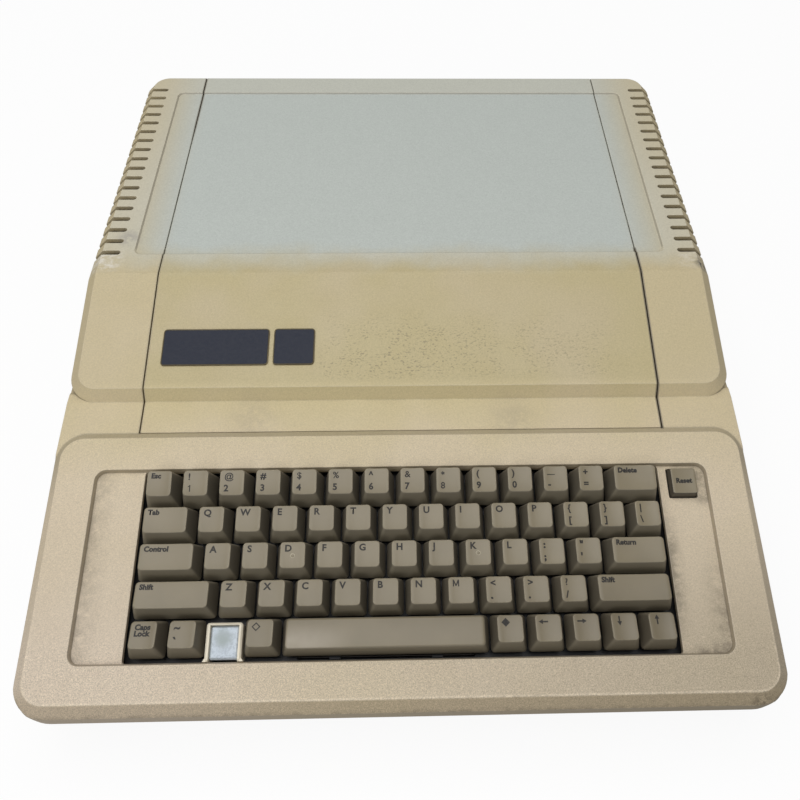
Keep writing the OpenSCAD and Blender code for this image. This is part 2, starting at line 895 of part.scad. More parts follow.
module expansion_slots() {
    color("#35443c")
        from_front()
            for (i = [0 : 6])
                translate([slot_first_x + i * slot_pitch, slot_y, board_high[2]])
                    edge_socket(slot_size);
}

module auxiliary_slot() {
    color("#3f5a44")
        from_front()
            translate([-70, 264, board_high[2]])
                edge_socket([9, 80, 14]);
}

// dual in-line chips in rows: [first x, y, how many, pitch, body width, legs on a side]
chip_rows = [
    [-46, 300, 9, 22, 7.4, 8],
    [-46, 274, 9, 22, 7.4, 8],
    [-46, 202, 8, 14, 7.4, 7],
    [78, 202, 6, 15.6, 7.4, 10],
    [-40, 238, 2, 60, 14, 20],
    [80, 238, 3, 24, 14, 14]
];
leg_pitch = 2.54;
chip_stand = 0.8;
// a comb of legs, seen from the side: wide shoulders above, narrow tips on the board
module leg_comb(legs) {
    shoulder = [0.75, 1.6];
    tip = 0.28;
    translate([0, -legs * leg_pitch / 2, 0])
        rotate([90, 0, 90])
            linear_extrude(0.3)
                polygon([
                    for (i = [0 : legs - 1], p = [
                        [-shoulder[0], shoulder[1] + 0.4], [-shoulder[0], shoulder[1]],
                        [-tip, shoulder[1] - 0.5], [-tip, 0], [tip, 0], [tip, shoulder[1] - 0.5],
                        [shoulder[0], shoulder[1]], [shoulder[0], shoulder[1] + 0.4]
                    ])
                    [(i + 0.5) * leg_pitch + p[0], p[1]],
                    [legs * leg_pitch, shoulder[1] + 1.2],
                    [0, shoulder[1] + 1.2]
                ]);
}

module chip(width, legs) {
    chip_t = 3;
    length = legs * leg_pitch - 0.3;
    translate([-width / 2, -length / 2, chip_stand])
        cube([width, length, chip_t]);
    for (side = [-1, 1])
        translate([side * (width / 2) - 0.15, 0, 0])
            leg_comb(legs);
}

module logic_chips() {
    color(chip_colour)
        from_front()
            for (row = chip_rows, i = [0 : row[2] - 1])
                translate([row[0] + i * row[3], row[1], board_high[2]])
                    chip(row[4], row[5]);
}

module video_jack() {
    color(brass_colour)
        from_front()
            translate([video_x, panel_y + 4, jack_z])
                rotate([90, 0, 0])
                    difference() {
                        union() {
                            cylinder(d = 8.3, h = 12);
                            translate([0, 0, 6])
                                cylinder(d = 11, h = 2);
                            block([-4.5, board_high[2] - jack_z, 12], [4.5, 4.5, 16]);
                        }
                        translate([0, 0, -1])
                            cylinder(d = 3.4, h = 9);
                    }
}

module cassette_jacks() {
    color(socket_colour)
        from_front()
            for (x = cassette_x)
                difference() {
                    union() {
                        block([x - 5, panel_y - 14, board_high[2]], [x + 5, panel_y - 1, jack_z + 5]);
                        translate([x, panel_y + 3, jack_z])
                            rotate([90, 0, 0])
                                cylinder(d = 8, h = 8);
                    }
                    translate([x, panel_y + 4, jack_z])
                        rotate([90, 0, 0])
                            cylinder(d = 3.6, h = 14);
                }
}

module game_port() {
    color(steel_colour)
        from_front()
            translate([game_x, 0, jack_z]) {
                difference() {
                    union() {
                        block([-15.4, panel_y + panel_t, -6.2], [15.4, panel_y + panel_t + 1, 6.2]);
                        translate([0, panel_y + 6, 0])
                            rotate([90, 0, 0])
                                linear_extrude(14)
                                    polygon([[-8.6, 4.2], [-7, -4.2], [7, -4.2], [8.6, 4.2]]);
                    }
                    for (i = [0 : 8])
                        translate([(i < 5 ? i - 2 : i - 6.5) * 2.76, panel_y + 7, i < 5 ? 1.4 : -1.4])
                            rotate([90, 0, 0])
                                cylinder(d = 1.3, h = 8);
                }
                block([-8.6, panel_y - 14, board_high[2] - jack_z], [8.6, panel_y - 7, 4.2]);
            }
}

module speaker() {
    color(plate_colour)
        from_front()
            translate([-120, 110, base_low_z + base_t]) {
                difference() {
                    cylinder(d = 57, h = 3);
                    translate([0, 0, -1])
                        cylinder(d = 48, h = 3);
                }
                cylinder(d1 = 50, d2 = 24, h = 12);
                translate([0, 0, 11])
                    cylinder(d = 26, h = 9);
            }
}

// ---- keyboard ----
// a clip that holds the space bar's wire down on the plate, with a running fit
module wire_clip() {
    clip = 2.8;
    bar = space_row[3];
    translate([key_x(bar[1], bar[2]), row_u(4) + wire_pivot_v, plate_t])
        for (x = [-26, 26])
            difference() {
                block([x - clip, -clip / 2, -0.2], [x + clip, clip / 2, wire_pivot_h - plate_h + clip / 2]);
                translate([x - clip - 1, 0, wire_pivot_h - plate_h])
                    rotate([0, 90, 0])
                        cylinder(d = wire_d + 0.1, h = 2 * clip + 2);
            }
}

module keyboard_plate() {
    hole = 13.9;
    tongue_u = 128;
    color(plate_colour)
        from_front()
            on_deck(0, plate_h - plate_t)
                difference() {
                    union() {
                        block([-168, 10, 0], [172, 118, plate_t]);
                        block([-12, 100, 0], [12, tongue_u, plate_t]);
                        block([150, 100, 0], [172, tongue_u, plate_t]);
                        wire_clip();
                    }
                    for (key = all_keys)
                        translate([key_x(key[1], key[2]), row_u(key[0]), 0])
                            cube([hole, hole, 10], center = true);
                    for (p = plate_posts)
                        translate([p[0], p[1], -1])
                            cylinder(d = 3.2, h = 5);
                }
}

module key_switches() {
    collar = 15.4;
    body = 13.7;
    socket = 4.6;
    color(chip_colour)
        from_front()
            on_deck()
                for (key = all_keys)
                    translate([key_x(key[1], key[2]), row_u(key[0]), 0])
                        difference() {
                            union() {
                                translate([-collar / 2, -collar / 2, plate_h])
                                    cube([collar, collar, switch_top_h - plate_h]);
                                translate([-body / 2, -body / 2, board_h])
                                    cube([body, body, plate_h - board_h + 0.5]);
                            }
                            translate([-socket / 2, -socket / 2, stem_tip_h - key_travel - 1.2])
                                cube([socket, socket, 20]);
                        }
}

module keyboard_board() {
    board_t = 1.6;
    color(board_colour)
        from_front()
            on_deck(0, board_h - board_t)
                block([-146, 14, 0], [170, 120, board_t]);
}

// the flat cable from the keyboard's board down to its plug on the motherboard
module keyboard_cable() {
    ribbon = [20, 46];
    ribbon_t = 1.2;
    plug_low = [ribbon[0] - 2, 180, board_high[2]];
    plug_high = [ribbon[1] + 2, 189, board_high[2] + 9];
    start = deck_point(112, board_h - 1.6);
    under = start[0] + 6;
    run_z = plug_high[2];
    color(cable_colour)
        from_front() {
            across(ribbon[0], ribbon[1])
                polygon([
                    start, [start[0], 40], [under, run_z], [plug_high[1], run_z],
                    [plug_high[1], run_z + ribbon_t], [under + ribbon_t, run_z + ribbon_t],
                    [start[0] + ribbon_t, 40], start + [ribbon_t, ribbon_t * tan(deck_slope) - 0.02]
                ]);
            block(plug_low, plug_high);
        }
}

module power_harness() {
    bundle_d = 5;
    color(cable_colour)
        from_front() {
            translate([supply_high[0], 206, 30])
                rotate([0, 90, 0])
                    cylinder(d = bundle_d, h = 14);
            translate([supply_high[0] + 14, 206, 30])
                sphere(d = bundle_d);
            translate([supply_high[0] + 14, 206, board_high[2] + 6])
                cylinder(d = bundle_d, h = 30 - board_high[2] - 6);
            block([supply_high[0] + 9, 194, board_high[2]], [supply_high[0] + 19, 218, board_high[2] + 7]);
        }
}

module bevelled_at_top(size, h) {
    edge = 0.8;
    leaning_slab(size[0], size[1], 1.6, h - edge, 0);
    translate([0, 0, h - edge])
        leaning_slab(size[0], size[1], 1.6, edge, edge);
}

lamp_x = key_x(lamp_unit, 1) + 0.38;
lamp_u = 28.2;
module lamp_frame() {
    outer = [18.1, 18.6];
    front_v = -9.45;
    window_half = 7.2;
    window_rear = 8;
    top_h = -0.8;
    foot = [[8, front_v], [10.1, front_v], [9, -7.8], [8, -7.8]];
    color(case_colour)
        from_front()
            on_deck(lamp_u, 0)
                translate([lamp_x, 0, 0]) {
                    difference() {
                        translate([0, front_v, plate_h])
                            bevelled_at_top(outer, top_h - plate_h);
                        block([-window_half, front_v - 1, plate_h - 1], [window_half, window_rear, 5]);
                    }
                    both_sides()
                        translate([0, 0, plate_h])
                            linear_extrude(top_h - plate_h - 0.5)
                                polygon(foot);
                }
}

module power_lamp() {
    lens = [14.1, 16];
    lens_top = -2.6;
    stalk = 6;
    color(lamp_colour)
        from_front()
            on_deck(lamp_u, 0)
                translate([lamp_x, -lens[1] / 2 - 0.3, lens_top - 4]) {
                    leaning_slab(lens[0], lens[1], 1, 3, 0);
                    translate([0, 0, 3])
                        leaning_slab(lens[0], lens[1], 1, 1, 0.9);
                    translate([0, (lens[1] - stalk) / 2, plate_h - lens_top + 4])
                        leaning_slab(stalk, stalk, 1, lens_top - plate_h - 4, 0);
                }
}

upper_case();
lid();
lid_catches();
name_plate();
model_plate();
base_plate();
feet();
case_screws();
rear_panel();
blanking_covers();
power_supply_case();
mains_inlet();
power_switch();
power_harness();
motherboard();
board_standoffs();
logic_chips();
expansion_slots();
auxiliary_slot();
video_jack();
cassette_jacks();
game_port();
speaker();
keyboard_plate();
keyboard_board();
key_switches();
keyboard_cable();
power_lamp();
lamp_frame();
space_bar_wire();
key_esc();
keys_1_to_4();
keys_5_to_8();
keys_9_to_equals();
key_delete();
key_tab();
keys_q_to_r();
keys_t_to_i();
keys_o_to_bracket();
key_backslash();
key_control();
keys_a_to_f();
keys_g_to_k();
keys_l_to_quote();
key_return();
key_left_shift();
keys_z_to_v();
keys_b_to_comma();
keys_period_slash();
key_right_shift();
key_caps_lock();
key_grave();
key_left_function();
space_bar();
key_right_function();
key_left_arrow();
key_right_arrow();
key_down_arrow();
key_up_arrow();
key_reset();
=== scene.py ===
"""Looks of a vintage home computer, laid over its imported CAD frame. Metres, +Z up, front towards -Y."""
import math

import bpy
from mathutils import Matrix, Vector


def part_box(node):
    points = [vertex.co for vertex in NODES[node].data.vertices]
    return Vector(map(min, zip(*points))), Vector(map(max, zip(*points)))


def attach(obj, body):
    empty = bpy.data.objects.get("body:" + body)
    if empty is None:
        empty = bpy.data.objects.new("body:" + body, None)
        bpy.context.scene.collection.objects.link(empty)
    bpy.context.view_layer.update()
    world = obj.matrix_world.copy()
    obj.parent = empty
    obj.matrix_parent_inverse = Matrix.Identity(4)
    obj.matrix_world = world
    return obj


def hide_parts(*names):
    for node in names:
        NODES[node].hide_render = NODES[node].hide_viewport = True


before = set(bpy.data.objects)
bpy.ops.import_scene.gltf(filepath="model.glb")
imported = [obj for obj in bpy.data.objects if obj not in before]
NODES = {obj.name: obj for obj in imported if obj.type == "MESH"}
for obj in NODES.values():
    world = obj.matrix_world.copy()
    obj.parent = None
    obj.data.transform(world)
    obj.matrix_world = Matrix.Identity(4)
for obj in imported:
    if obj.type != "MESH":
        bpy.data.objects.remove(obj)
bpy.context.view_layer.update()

bl_info = {
    "name": "Vintage home computer",
    "version": (1, 0, 0),
    "blender": (4, 5, 0),
    "location": "View3D > Sidebar > Computer",
    "description": "Builds key caps, badges, lamp, boards and finishes round the frame of a home computer",
    "category": "Object",
}

MM = 0.001
TINY = 1e-6

# Places and sizes of the case and the caps, as in the part's source, in millimetres and radians.
HALF_WIDTH = 192
CASE_DEPTH = 457
CASE_HEIGHT = 114
CORNER_R = 17.5
BEVEL = 6
BLOCK_Y = 165.5
CREASE_Y = 239
BLOCK_SLOPE = math.radians(14)
SEAM_X = 146.2 + 0.8 / 2
PLATFORM_Z = CASE_HEIGHT - 1
DECK_SLOPE = math.radians(13.8)
DECK_FRONT_Z = 55.8
DECK_EDGE_Y = BEVEL * (math.cos(DECK_SLOPE) - math.sin(DECK_SLOPE)) - CASE_DEPTH / 2
DECK_LENGTH = 136
KEY_PITCH = 19.05
KEY_GAP = 0.85
KEY_DEPTH = 18.2
ROW_UNITS = 14.5
NUMBER_ROW_U = 106.5
FRONT_RISE = (8.4, 6.9, 6.6, 7.1, 6.9, 2.4)
REAR_RISE = (9.6, 7.1, 6.4, 5.8, 4.9, 2.4)
RESET_ROW = 5
RESET_U = 107.1
RESET_BASE = (15.1, 16)
RESET_TOP_W = 13.4
SKIRT_H = -6.0
STEM_TIP_H = -13
CAP_WALL = 1.3
HOOK_X = 40

# How the caps differ: depth of the top, its shift to the rear, radius of the corners, softness of the rim.
CAP_FORMS = {"key": (13.4, 0.75, 2.0, 0.45), "bar": (14.8, 0.1, 2.0, 1.0), "reset": (14.1, 0, 1.2, 0.45)}
BAR_UNITS = 3

# Legends: how far round each arrow points, the size of arrows and diamonds, a capital's height as a part of
# the built-in font's size, the rear edge of a cap's top and the height that a legend is pressed down from.
ARROW_TURNS = {"right": 0, "up": 90, "left": 180, "down": 270}
SIGN_SIZE = 4.4
FONT_CAPITAL = 0.72
TOP_REAR = 7.45
LEGEND_LIFT = 14


def bank(node, first, *legends):
    """Keys one unit wide, side by side from a first unit on, each with one sign or with two to stack."""
    return tuple((node, first + i, 1, tuple(legend)) for i, legend in enumerate(legends))


# What stands in each row: its number, then each key's node, first unit, width in units and legends.
KEY_ROWS = (
    (0, (("key_esc", 0, 1, ("Esc",)), *bank("keys_1_to_4", 1, "!1", "@2", "#3", "$4"),
         *bank("keys_5_to_8", 5, "%5", "^6", "&7", "*8"),
         *bank("keys_9_to_equals", 9, "(9", ")0", "_-", "+="), ("key_delete", 13, 1.5, ("Delete",)))),
    (1, (("key_tab", 0, 1.5, ("Tab",)), *bank("keys_q_to_r", 1.5, *"QWER"),
         *bank("keys_t_to_i", 5.5, *"TYUI"), *bank("keys_o_to_bracket", 9.5, "O", "P", "{[", "}]"),
         *bank("key_backslash", 13.5, "|\\"))),
    (2, (("key_control", 0, 1.75, ("Control",)), *bank("keys_a_to_f", 1.75, *"ASDF"),
         *bank("keys_g_to_k", 5.75, *"GHJK"), *bank("keys_l_to_quote", 9.75, "L", ":;", "\"'"),
         ("key_return", 12.75, 1.75, ("Return",)))),
    (3, (("key_left_shift", 0, 2.25, ("Shift",)), *bank("keys_z_to_v", 2.25, *"ZXCV"),
         *bank("keys_b_to_comma", 6.25, "B", "N", "M", "<,"), *bank("keys_period_slash", 10.25, ">.", "?/"),
         ("key_right_shift", 12.25, 2.25, ("Shift",)))),
    (4, (("key_caps_lock", 0, 1, ("Caps", "Lock")), *bank("key_grave", 1, "~`"),
         ("key_left_function", 3, 1, ("open diamond",)), ("space_bar", 4, 5.5, ()),
         ("key_right_function", 9.5, 1, ("full diamond",)), ("key_left_arrow", 10.5, 1, ("left",)),
         ("key_right_arrow", 11.5, 1, ("right",)), ("key_down_arrow", 12.5, 1, ("down",)),
         ("key_up_arrow", 13.5, 1, ("up",)))),
    (RESET_ROW, (("key_reset", 14.73, 1, ("Reset",)),)),
)


# ---- helpers ----
def on_deck(x, u, h):
    """A place given across, up the deck's slope and square to it, in millimetres, as a vector in metres."""
    y = DECK_EDGE_Y + u * math.cos(DECK_SLOPE) - h * math.sin(DECK_SLOPE)
    z = DECK_FRONT_Z + u * math.sin(DECK_SLOPE) + h * math.cos(DECK_SLOPE)
    return Vector((x, y, z)) * MM


def key_x(first, units):
    return (first + units / 2 - ROW_UNITS / 2) * KEY_PITCH


def row_u(row):
    return RESET_U if row == RESET_ROW else NUMBER_ROW_U - row * KEY_PITCH


def srgb(code):
    """An sRGB hex colour as linear RGBA."""
    parts = [int(code[i:i + 2], 16) / 255 for i in (1, 3, 5)]
    return tuple(p / 12.92 if p <= 0.04045 else ((p + 0.055) / 1.055) ** 2.4 for p in parts) + (1.0,)


def only(obj):
    """Leaves one object selected and active."""
    bpy.ops.object.select_all(action="DESELECT")
    obj.select_set(True)
    bpy.context.view_layer.objects.active = obj


def pick(obj, kind, test):
    """Selects the vertices, edges or faces of an object in edit mode that pass a test of their place."""
    bpy.ops.mesh.select_mode(type=kind)
    bpy.ops.mesh.select_all(action="DESELECT")
    bpy.ops.object.mode_set(mode="OBJECT")
    mesh = obj.data
    if kind == "VERT":
        for v in mesh.vertices:
            v.select = test(v.co)
    elif kind == "EDGE":
        for e in mesh.edges:
            e.select = test(*[mesh.vertices[i].co for i in e.vertices])
    else:
        for f in mesh.polygons:
            f.select = test(f.center, f.normal)
    bpy.ops.object.mode_set(mode="EDIT")


def apply_modifier(obj, kind, **settings):
    only(obj)
    made = obj.modifiers.new(kind.lower(), kind)
    for name, value in settings.items():
        setattr(made, name, value)
    bpy.ops.object.modifier_apply(modifier=made.name)


def block(name, low, high):
    """A cube primitive from its lowest to its highest corner, in millimetres, left in object mode."""
    low, high = Vector(low) * MM, Vector(high) * MM
    bpy.ops.object.select_all(action="DESELECT")
    bpy.ops.mesh.primitive_cube_add(size=1, location=(low + high) / 2, scale=high - low)
    made = bpy.context.object
    made.name = made.data.name = name
    bpy.ops.object.transform_apply()
    return made


def soften(obj, width):
    """Rounds an object's sharp edges and shades it smooth between them."""
    apply_modifier(obj, "BEVEL", width=width * MM, segments=2, limit_method="ANGLE",
                   angle_limit=math.radians(35), harden_normals=False)
    only(obj)
    bpy.ops.object.shade_smooth_by_angle(angle=math.radians(40))


def copy_of(obj, name):
    made = obj.copy()
    made.data = obj.data.copy()
    made.name = made.data.name = name
    bpy.context.scene.collection.objects.link(made)
    return made


def settle(obj, matrix):
    """Moves an object by a matrix and applies it, so the object ends at the origin."""
    only(obj)
    obj.matrix_world = matrix @ obj.matrix_world
    bpy.ops.object.transform_apply()


def join(name, objs):
    bpy.ops.object.select_all(action="DESELECT")
    for o in objs:
        o.select_set(True)
    bpy.context.view_layer.objects.active = objs[0]
    if len(objs) > 1:
        bpy.ops.object.join()
    made = bpy.context.view_layer.objects.active
    made.name = made.data.name = name
    return made


def dress(obj, material):
    obj.data.materials.clear()
    obj.data.materials.append(material)


def dress_nodes(material, *nodes):
    for node in nodes:
        dress(NODES[node], material)


def add(tree, kind, inputs=(), **settings):
    """Adds a shader node, settings first, then each input as a value or an output. Returns its outputs."""
    made = tree.nodes.new("ShaderNode" + kind)
    for name, value in settings.items():
        setattr(made, name, value)
    for key, value in dict(inputs).items():
        if isinstance(value, bpy.types.NodeSocket):
            tree.links.new(value, made.inputs[key])
        else:
            made.inputs[key].default_value = value
    return made.outputs


def blank_material(name):
    made = bpy.data.materials.new(name)
    made.use_nodes = True
    made.node_tree.nodes.clear()
    return made, made.node_tree


def finish_material(material, colour, roughness, normal=None, **sockets):
    """Ends a material in one Principled shader and returns it; constants go straight on the sockets."""
    inputs = {"Base Color": colour, "Roughness": roughness}
    if normal:
        inputs["Normal"] = normal
    inputs.update({key.replace("_", " "): value for key, value in sockets.items()})
    shader = add(material.node_tree, "BsdfPrincipled", inputs)[0]
    add(material.node_tree, "OutputMaterial", {"Surface": shader})
    return material


def chain(tree, operation, *terms):
    """Joins numbers and fields by one operation of arithmetic, from left to right."""
    made = terms[0]
    for term in terms[1:]:
        made = add(tree, "Math", {0: made, 1: term}, operation=operation)[0]
    return made


def mask(tree, *factors):
    """Multiplies numbers, fields and soft steps. A step (field, from, to) rises from 0 to 1, or between two
    levels that follow."""
    made = []
    for factor in factors:
        if isinstance(factor, tuple):
            field, start, end, *levels = factor
            low, high = levels or (0.0, 1.0)
            factor = add(tree, "MapRange", {0: field, 1: start, 2: end, 3: low, 4: high},
                         interpolation_type="SMOOTHSTEP")[0]
        made.append(factor)
    return chain(tree, "MULTIPLY", *made)


def coat(tree, colour, over, *factors, blend="MIX"):
    """Lays a colour or field over a colour, as strongly as the product of the factors."""
    first, second = (srgb(c) if isinstance(c, str) else c for c in (colour, over))
    inputs = {0: mask(tree, *factors), 6: first, 7: second}
    return add(tree, "Mix", inputs, data_type="RGBA", blend_type=blend)[2]


def uneven(tree, colour, field, start, end, darkest, palest):
    """Shades a colour from dark to pale as a field goes from one value to another."""
    shade = add(tree, "MapRange", {0: field, 1: start, 2: end, 3: darkest, 4: palest})[0]
    return coat(tree, colour, shade, 1.0, blend="MULTIPLY")


def in_mm(tree, place):
    """The three measures of a place in millimetres."""
    scaled = add(tree, "VectorMath", {0: place, "Scale": 1 / MM}, operation="SCALE")[0]
    return add(tree, "SeparateXYZ", {0: scaled})


def off(tree, field, middle):
    """How far a field is from a value, on either side of it."""
    return add(tree, "Math", {0: chain(tree, "SUBTRACT", field, middle)}, operation="ABSOLUTE")[0]


def beyond(tree, field, limit):
    """How far a field has passed a limit, and 0 before it."""
    return chain(tree, "MAXIMUM", chain(tree, "SUBTRACT", field, limit), 0.0)


def length(tree, across, along):
    """The length of a line that goes so far across and so far along."""
    squares = chain(tree, "ADD", mask(tree, across, across), mask(tree, along, along))
    return add(tree, "Math", {0: squares}, operation="SQRT")[0]


def spot(tree, across, along, centre, radius):
    """A soft step that is 1 at a place given by two measures and 0 from a radius on."""
    dx = chain(tree, "SUBTRACT", across, centre[0])
    dy = chain(tree, "SUBTRACT", along, centre[1])
    return length(tree, dx, dy), radius, 0.0


def band(field, low, high, soft):
    """Two soft steps whose product is 1 between two values and 0 outside them."""
    return (field, low - soft, low + soft), (field, high + soft, high - soft)


def rounded_edges(tree, normal, radius):
    """A normal rounded along the edges, and its likeness to the true one: below 1 only along an edge."""
    rounded = add(tree, "Bevel", {"Radius": radius * MM}, samples=6)[0]
    return rounded, add(tree, "VectorMath", {0: rounded, 1: normal}, operation="DOT_PRODUCT")["Value"]


# ---- user settings ----
class CaseFinish(bpy.types.PropertyGroup):
    beige: bpy.props.FloatVectorProperty(
        name="Case beige", description="Moulded colour of the keyboard deck", subtype="COLOR", size=4,
        default=srgb("#d6c6a9"), min=0, max=1)
    yellowed: bpy.props.FloatVectorProperty(
        name="Yellowed plastic", description="Aged colour of the slope behind the keyboard",
        subtype="COLOR", size=4, default=srgb("#cbbc90"), min=0, max=1)
    bleached: bpy.props.FloatVectorProperty(
        name="Covered plastic", description="Grey-white of the platform that a monitor kept from the light",
        subtype="COLOR", size=4, default=srgb("#c3c9c3"), min=0, max=1)
    # This colour also paints shade: on the deck's right front, on the sunk field's walls and in hollows.
    grime_and_shade: bpy.props.FloatVectorProperty(
        name="Grime", description="Dirt held in corners and grooves", subtype="COLOR", size=4,
        default=srgb("#6e6454"), min=0, max=1)
    grain: bpy.props.FloatProperty(
        name="Grain size", description="Pitch of the moulded texture", unit="LENGTH", default=0.9 * MM,
        min=0.2 * MM, max=3 * MM)


class KeyFinish(bpy.types.PropertyGroup):
    top: bpy.props.FloatProperty(
        name="Top width", description="Width of a single key's top face", unit="LENGTH", default=12.8 * MM,
        min=11 * MM, max=14 * MM)
    dish: bpy.props.FloatProperty(
        name="Dish", description="Depth of the hollow across a key's top", unit="LENGTH", default=0.6 * MM,
        min=0, max=1.5 * MM)
    colour: bpy.props.FloatVectorProperty(
        name="Key colour", description="Moulded colour of the caps", subtype="COLOR", size=4,
        default=srgb("#877c64"), min=0, max=1)
    legend: bpy.props.FloatVectorProperty(
        name="Legend colour", description="Colour of the printed legends", subtype="COLOR", size=4,
        default=srgb("#231f1b"), min=0, max=1)
    letter: bpy.props.FloatProperty(
        name="Letter height", description="Height of a capital letter", unit="LENGTH", default=3.45 * MM,
        min=2 * MM, max=5 * MM)
    word: bpy.props.FloatProperty(
        name="Word height", description="Height of a capital in a written word", unit="LENGTH",
        default=2.65 * MM, min=1 * MM, max=4 * MM)


class StageSetting(bpy.types.PropertyGroup):
    backdrop: bpy.props.FloatVectorProperty(
        name="Backdrop", description="Colour of floor and background", subtype="COLOR", size=4,
        default=(1.0, 1.0, 1.0, 1.0), min=0, max=1)
    key_power: bpy.props.FloatProperty(
        name="Main lamp", description="Power of the large lamp overhead", subtype="POWER",
        default=18.5, min=0)
    front_power: bpy.props.FloatProperty(
        name="Front lamp", description="Power of the weak lamp before the keys", subtype="POWER",
        default=5.5, min=0)
    fill: bpy.props.FloatProperty(
        name="Fill", description="Strength of the even light from all round", default=0.26, min=0, max=2)
    lens: bpy.props.FloatProperty(
        name="Focal length", description="Focal length in pixels of an 800 pixel wide frame",
        default=851.94, min=300, max=3000)


# ---- materials ----
# A noise's scale is 1 over the size of its patches. Places on the case and the caps are in millimetres.
# Here and below, s holds a group of user settings and f the fields that the case's wear and painted light
# go by.
class CaseFields:
    """What the case's wear and painted light go by: places, slants and three sizes of cloud."""
    def __init__(self, tree):
        self.place = add(tree, "TexCoord")["Object"]
        self.normal = add(tree, "NewGeometry")["Normal"]
        self.x, self.y, self.z = in_mm(tree, self.place)
        self.side = off(tree, self.x, 0.0)
        self.upward = add(tree, "SeparateXYZ", {0: self.normal})[2]
        self.stains, self.patches, self.smears = (
            add(tree, "TexNoise", {"Vector": self.place, "Scale": 1 / (size * MM), "Detail": detail,
                                   "Roughness": roughness})[0]
            for size, detail, roughness in ((111.1, 3.0, 0.55), (22.22, 4.0, 0.6), (5.263, 5.0, 0.7)))
        self.streaks = add(tree, "Mapping", {"Vector": self.place, "Scale": (0.6, 1.0, 1.0)})[0]

        # The same place up the deck's slope and square to it, and how nearly a face leans as the deck does.
        level = Matrix.Rotation(-DECK_SLOPE, 3, "X")
        turned = add(tree, "Mapping", {"Vector": self.place, "Rotation": (-DECK_SLOPE, 0.0, 0.0),
                                       "Location": tuple(-(level @ on_deck(0, 0, 0)))})[0]
        _, self.u, self.h = in_mm(tree, turned)
        upright = (0.0, -math.sin(DECK_SLOPE), math.cos(DECK_SLOPE))
        self.leaning = add(tree, "VectorMath", {0: self.normal, 1: upright},
                           operation="DOT_PRODUCT")["Value"]


def age_and_falloff(tree, f, s):
    """Age turns the slope behind the keys yellower than the washed-out deck. Painted light and shade make
    the deck paler at the left front and darker at the right front, where the light falls off; the deck is
    also darker towards the front.
    """
    colour = coat(tree, s.beige, s.yellowed, (f.y, -140, -50))
    colour = coat(tree, colour, "#dccbb8", (f.stains, 0.42, 0.62), 0.22)
    # Painted light: the deck is paler at the left front.
    colour = coat(tree, colour, "#e9d8c6", (f.x, -20, -130), (f.u, 80, 10), 0.5)
    # Painted shade darkens the deck towards the right front, where the light falls off. The deck is also
    # darker towards the front.
    falloff_shade = mask(tree, (f.x, -60, 190), (f.u, 100, 0), 0.25)
    darker_front = mask(tree, (f.u, 120, 10), 0.13)
    colour = coat(tree, colour, s.grime_and_shade, chain(tree, "ADD", falloff_shade, darker_front))
    colour = coat(tree, colour, "#6f6a48", (f.y, -64, -58), 0.13)
    colour = coat(tree, colour, "#d3c3a0", (f.side, SEAM_X, SEAM_X + 0.9), (f.y, -100, -60), 0.5)
    for centre in ((62, -79.5), (-85, -78.5)):
        stain = spot(tree, f.x, f.y, centre, 20)
        colour = coat(tree, colour, "#8a7f74", stain, (f.smears, 0.3, 0.6), 0.24)
    return colour


def covered_and_step_shade(tree, f, s, colour):
    """A monitor kept the light off the platform, so it stayed grey-white, with soft borders. A painted
    shadow line runs along the walls of the platform's step.
    """
    border = chain(tree, "ADD", f.y, mask(tree, f.patches, 20))
    reached = mask(tree, (border, 17, 50))
    low, high = PLATFORM_Z + 0.1, PLATFORM_Z + 0.7
    rim = add(tree, "MapRange", {0: f.z, 1: low, 2: high, 3: 1.0, 4: 0.85})[0]
    colour = coat(tree, colour, s.bleached, reached, (f.side, 184, 138), (f.z, 105, 110), rim)
    colour = coat(tree, colour, "#d2cfbf", reached, (f.upward, 0.6, 0.95), (f.z, low, high),
                  (f.y, 160, 70, 0.36, 0.62))
    # Painted shade along the walls of the platform's step.
    return coat(tree, colour, "#867f70", *band(f.z, low, low + 0.8, 0.1), (f.side, 166.8, 166.2),
                (f.y, 30, 34), 0.55)


def bevel_wear_and_shade(tree, f, s, colour):
    """The deck's bevel has gone brown in front, where wrists rest. Painted shade greys it at the rear, and
    a painted highlight runs along its upper edge in front.
    """
    inner = CORNER_R - BEVEL
    over_x = beyond(tree, f.side, HALF_WIDTH - CORNER_R)
    over_u = beyond(tree, off(tree, f.u, DECK_LENGTH / 2), DECK_LENGTH / 2 - inner)
    reach = length(tree, over_x, over_u)
    off_bevel = off(tree, chain(tree, "ADD", reach, f.h), inner)
    bevel = mask(tree, (off_bevel, 0.7, 0.3), (reach, inner - 0.1, inner + 0.5), (f.leaning, 0.3, 0.5))
    # Painted shade: the bevel is greyer and darker towards the rear.
    colour = coat(tree, colour, "#8b8370", bevel, (f.u, 90, 130), 0.42)
    front = mask(tree, bevel, (f.u, 10, 0))
    colour = coat(tree, colour, "#98804e", front, 0.25)
    colour = coat(tree, colour, s.grime_and_shade, front, (f.h, -3.8, -6.2), (f.smears, 0.35, 0.65), 0.5)
    scuff = spot(tree, f.x, f.h, (176, -4), 8)
    colour = coat(tree, colour, "#4f4636", scuff, (f.u, 2, -3), (f.smears, 0.42, 0.58), 0.6)
    # Painted highlight: a pale line along the bevel's upper edge, in front.
    edge_highlight = (off(tree, reach, inner - 0.1), 1.1, 0.0)
    return coat(tree, colour, "#f0dfc4", edge_highlight, (off(tree, f.h, 0.0), 1.0, 0.4), (f.u, 60, 0),
                (f.smears, 0.25, 0.6), 0.55)


